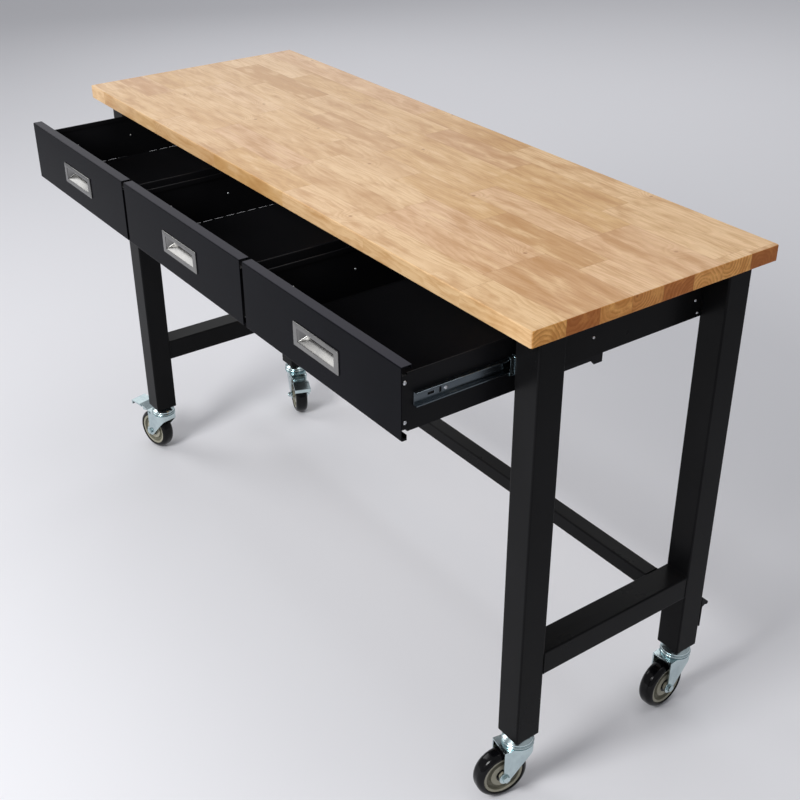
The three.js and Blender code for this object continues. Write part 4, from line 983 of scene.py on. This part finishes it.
def bent_strip(line, thickness, start, end):
    """A strip along Y: an open line in (x, z) is offset to both sides, and at each end the sides close on it."""
    ahead = np.gradient(line, axis=0)
    ahead /= np.linalg.norm(ahead, axis=1)[:, None]
    normal = np.stack([-ahead[:, 1], ahead[:, 0]], axis=1)
    size = np.array([0.0, 0.5, 0.5, 0.0])[:, None, None] * thickness
    outline = np.concatenate([line + size * normal, (line - size * normal)[:, ::-1]], axis=1)
    points = np.empty((4, outline.shape[1], 3))
    points[..., 0], points[..., 2] = outline[..., 0], outline[..., 1]
    points[..., 1] = np.array([start, start, end, end])[:, None]
    return points.reshape(-1, 3), grid_quads(4, outline.shape[1])


def balls(centres):
    """Spheres centre + r (sin p cos t, sin p sin t, cos p)."""
    p, t = np.meshgrid(np.linspace(0, math.pi, 9), np.linspace(0, 2 * math.pi, 14, endpoint=False), indexing="ij")
    ball = BALL_RADIUS * np.stack([np.sin(p) * np.cos(t), np.sin(p) * np.sin(t), np.cos(p)], axis=-1)
    return repeated(np.asarray(centres)[:, None] + ball.reshape(1, -1, 3), grid_quads(*p.shape))


print("balls of", round(2 * BALL_RADIUS / MM, 1), "mm")

# %% Ball cages at the mouths of the slides
CAGE_SHEET = 0.8 * MM
CAGE_HALF = 15.6 * MM
CAGE_DEPTH = 6.5 * MM
CAGE_AHEAD = 9 * MM
CAGE_LENGTH = 110 * MM
CAGE_INSET, CAGE_BEND = 2.0 * MM, 1.5 * MM
BEND_TOP, BEND_FOOT = 0.3 * MM, 2 * MM
FIRST_BALL, BALL_INSET, BALL_RISE = 4 * MM, 1 * MM, 13.9 * MM

for name in DRAWERS:
    surfaces = []
    for side, toward in (("left", 1), ("right", -1)):
        low, high = box_of(f"slide_cabinet_{name}_{side}")
        web = (low[0] if toward > 0 else high[0]) + toward * CAGE_INSET
        level = (low[2] + high[2]) / 2
        start = low[1] - CAGE_AHEAD
        flange, bend_x = web + toward * CAGE_DEPTH, toward * CAGE_BEND
        upper = np.array([(flange, CAGE_HALF), (web + 2 * bend_x, CAGE_HALF), (web + bend_x, CAGE_HALF - BEND_TOP),
                          (web, CAGE_HALF - BEND_FOOT)])
        line = np.vstack([upper, [(web, 0)], upper[::-1] * [1, -1]])
        surfaces.append(bent_strip(line + [0, level], CAGE_SHEET, start, start + CAGE_LENGTH))
        reach = start + np.arange(FIRST_BALL, CAGE_LENGTH, BALL_PITCH)
        rises = (level - BALL_RISE, level + BALL_RISE)
        surfaces.append(balls([(flange - toward * BALL_INSET, y, z) for y in reach for z in rises]))
    make_piece(f"ball_cages_{name}", *merged(*surfaces), caster_zinc, f"drawer_{name}", "caster_zinc")
print("caged the balls of", 2 * len(DRAWERS), "slides")

# %% [markdown]
# ## Floor
# The bench stands on a pale, cool studio floor that runs past the edges of the picture. A curved backdrop could
# rise behind it. A large plane looks the same from every side, so it is chosen.

# %% Floor
FLOOR_REACH = 40.0
corner = np.array([(-1, -1, 0), (1, -1, 0), (1, 1, 0), (-1, 1, 0)], float) * FLOOR_REACH
floor_mesh = bpy.data.meshes.new("studio_floor")
floor_mesh.from_pydata(corner.tolist(), [], [(0, 1, 2, 3)])
floor_paint, g, shader, place = new_finish("studio_floor")
g.feed(shader.inputs["Base Color"], g.mix(g.noise(place, 0.6), (0.80, 0.80, 0.83, 1), (0.83, 0.83, 0.86, 1)))
shader.inputs["Roughness"].default_value = 0.75
shader.inputs["Specular IOR Level"].default_value = 0.2
floor_mesh.materials.append(floor_paint)
floor = bpy.data.objects.new("studio_floor", floor_mesh)
bpy.context.scene.collection.objects.link(floor)
print("a floor", 2 * FLOOR_REACH, "m across")

# %% [markdown]
# ## Light
# A bench on sale is lit softly from the front, with weaker light from other sides. One lamp and a bright world
# could do that, but the pulls and the black paint show mostly what they mirror. So there are five soft discs:
# front, left, above, rear left, and one for the floor behind. A dim, cool world fills the shadows.

# %% Lamps and world
bench_middle = Vector(((top_low[0] + top_high[0]) / 2, (top_low[1] + top_high[1]) / 2, 0.6))


def soft_lamp(name, place, size, power, aim=bench_middle):
    """A round area lamp of a size in metres and a power in watts, turned towards a point."""
    lamp = bpy.data.lights.new(name, "AREA")
    lamp.shape = "DISK"
    lamp.size = size
    lamp.energy = power
    lit = bpy.data.objects.new(name, lamp)
    lit.location = place
    lit.rotation_euler = (Vector(aim) - Vector(place)).to_track_quat("-Z", "Y").to_euler()
    bpy.context.scene.collection.objects.link(lit)


soft_lamp("front_lamp", (0.6, -2.9, 2.65), size=1.3, power=92)
soft_lamp("left_lamp", (-2.8, -1.5, 2.4), size=1.8, power=26)
soft_lamp("top_lamp", (0.6, 0.6, 3.4), size=2.0, power=14)
soft_lamp("rear_left_panel", (-4.2, 2.0, 2.5), size=3.0, power=17)
soft_lamp("back_lamp", (-2.0, 3.6, 3.2), size=1.6, power=22, aim=(-2.7, 4.4, 0.0))

world = bpy.data.worlds.new("studio")
bpy.context.scene.world = world
world.use_nodes = True
sky = world.node_tree.nodes["Background"]
sky.inputs["Color"].default_value = (0.95, 0.96, 1.0, 1)
sky.inputs["Strength"].default_value = 0.38
bpy.context.scene.view_settings.view_transform = "Standard"
print("five lamps and a dim world")

# %% [markdown]
# ## Camera
# The bench is seen from the right front, about thirty degrees from above. The camera could be set by eye. Its angles
# and place were solved from the lines of top, legs and drawers instead, so that these fall on the same places in
# the picture.

# %% Camera
IMAGE_SIDE = 800
FOCAL_PIXELS = 1231.5
SENSOR = 36.0
AZIMUTH, ELEVATION, ROLL = 0.952, 0.527, -0.005
FROM_TOP_MIDDLE = (1.9078, -1.3070)
EYE_HEIGHT = 1.7608

lens = bpy.data.cameras.new("photo_camera")
lens.sensor_width = SENSOR
lens.lens = FOCAL_PIXELS / IMAGE_SIDE * SENSOR
camera = bpy.data.objects.new("photo_camera", lens)
ahead = Vector((-math.sin(AZIMUTH) * math.cos(ELEVATION), math.cos(AZIMUTH) * math.cos(ELEVATION),
                -math.sin(ELEVATION)))
turn = ahead.to_track_quat("-Z", "Y").to_matrix().to_4x4() @ Matrix.Rotation(ROLL, 4, "Z")
eye = (bench_middle[0] + FROM_TOP_MIDDLE[0], bench_middle[1] + FROM_TOP_MIDDLE[1], EYE_HEIGHT)
camera.matrix_world = Matrix.Translation(eye) @ turn
bpy.context.scene.collection.objects.link(camera)
bpy.context.scene.camera = camera
print("camera at", [round(v, 3) for v in eye])

# %% [markdown]
# ## Finish
# Dressing must not change the size of the bench.
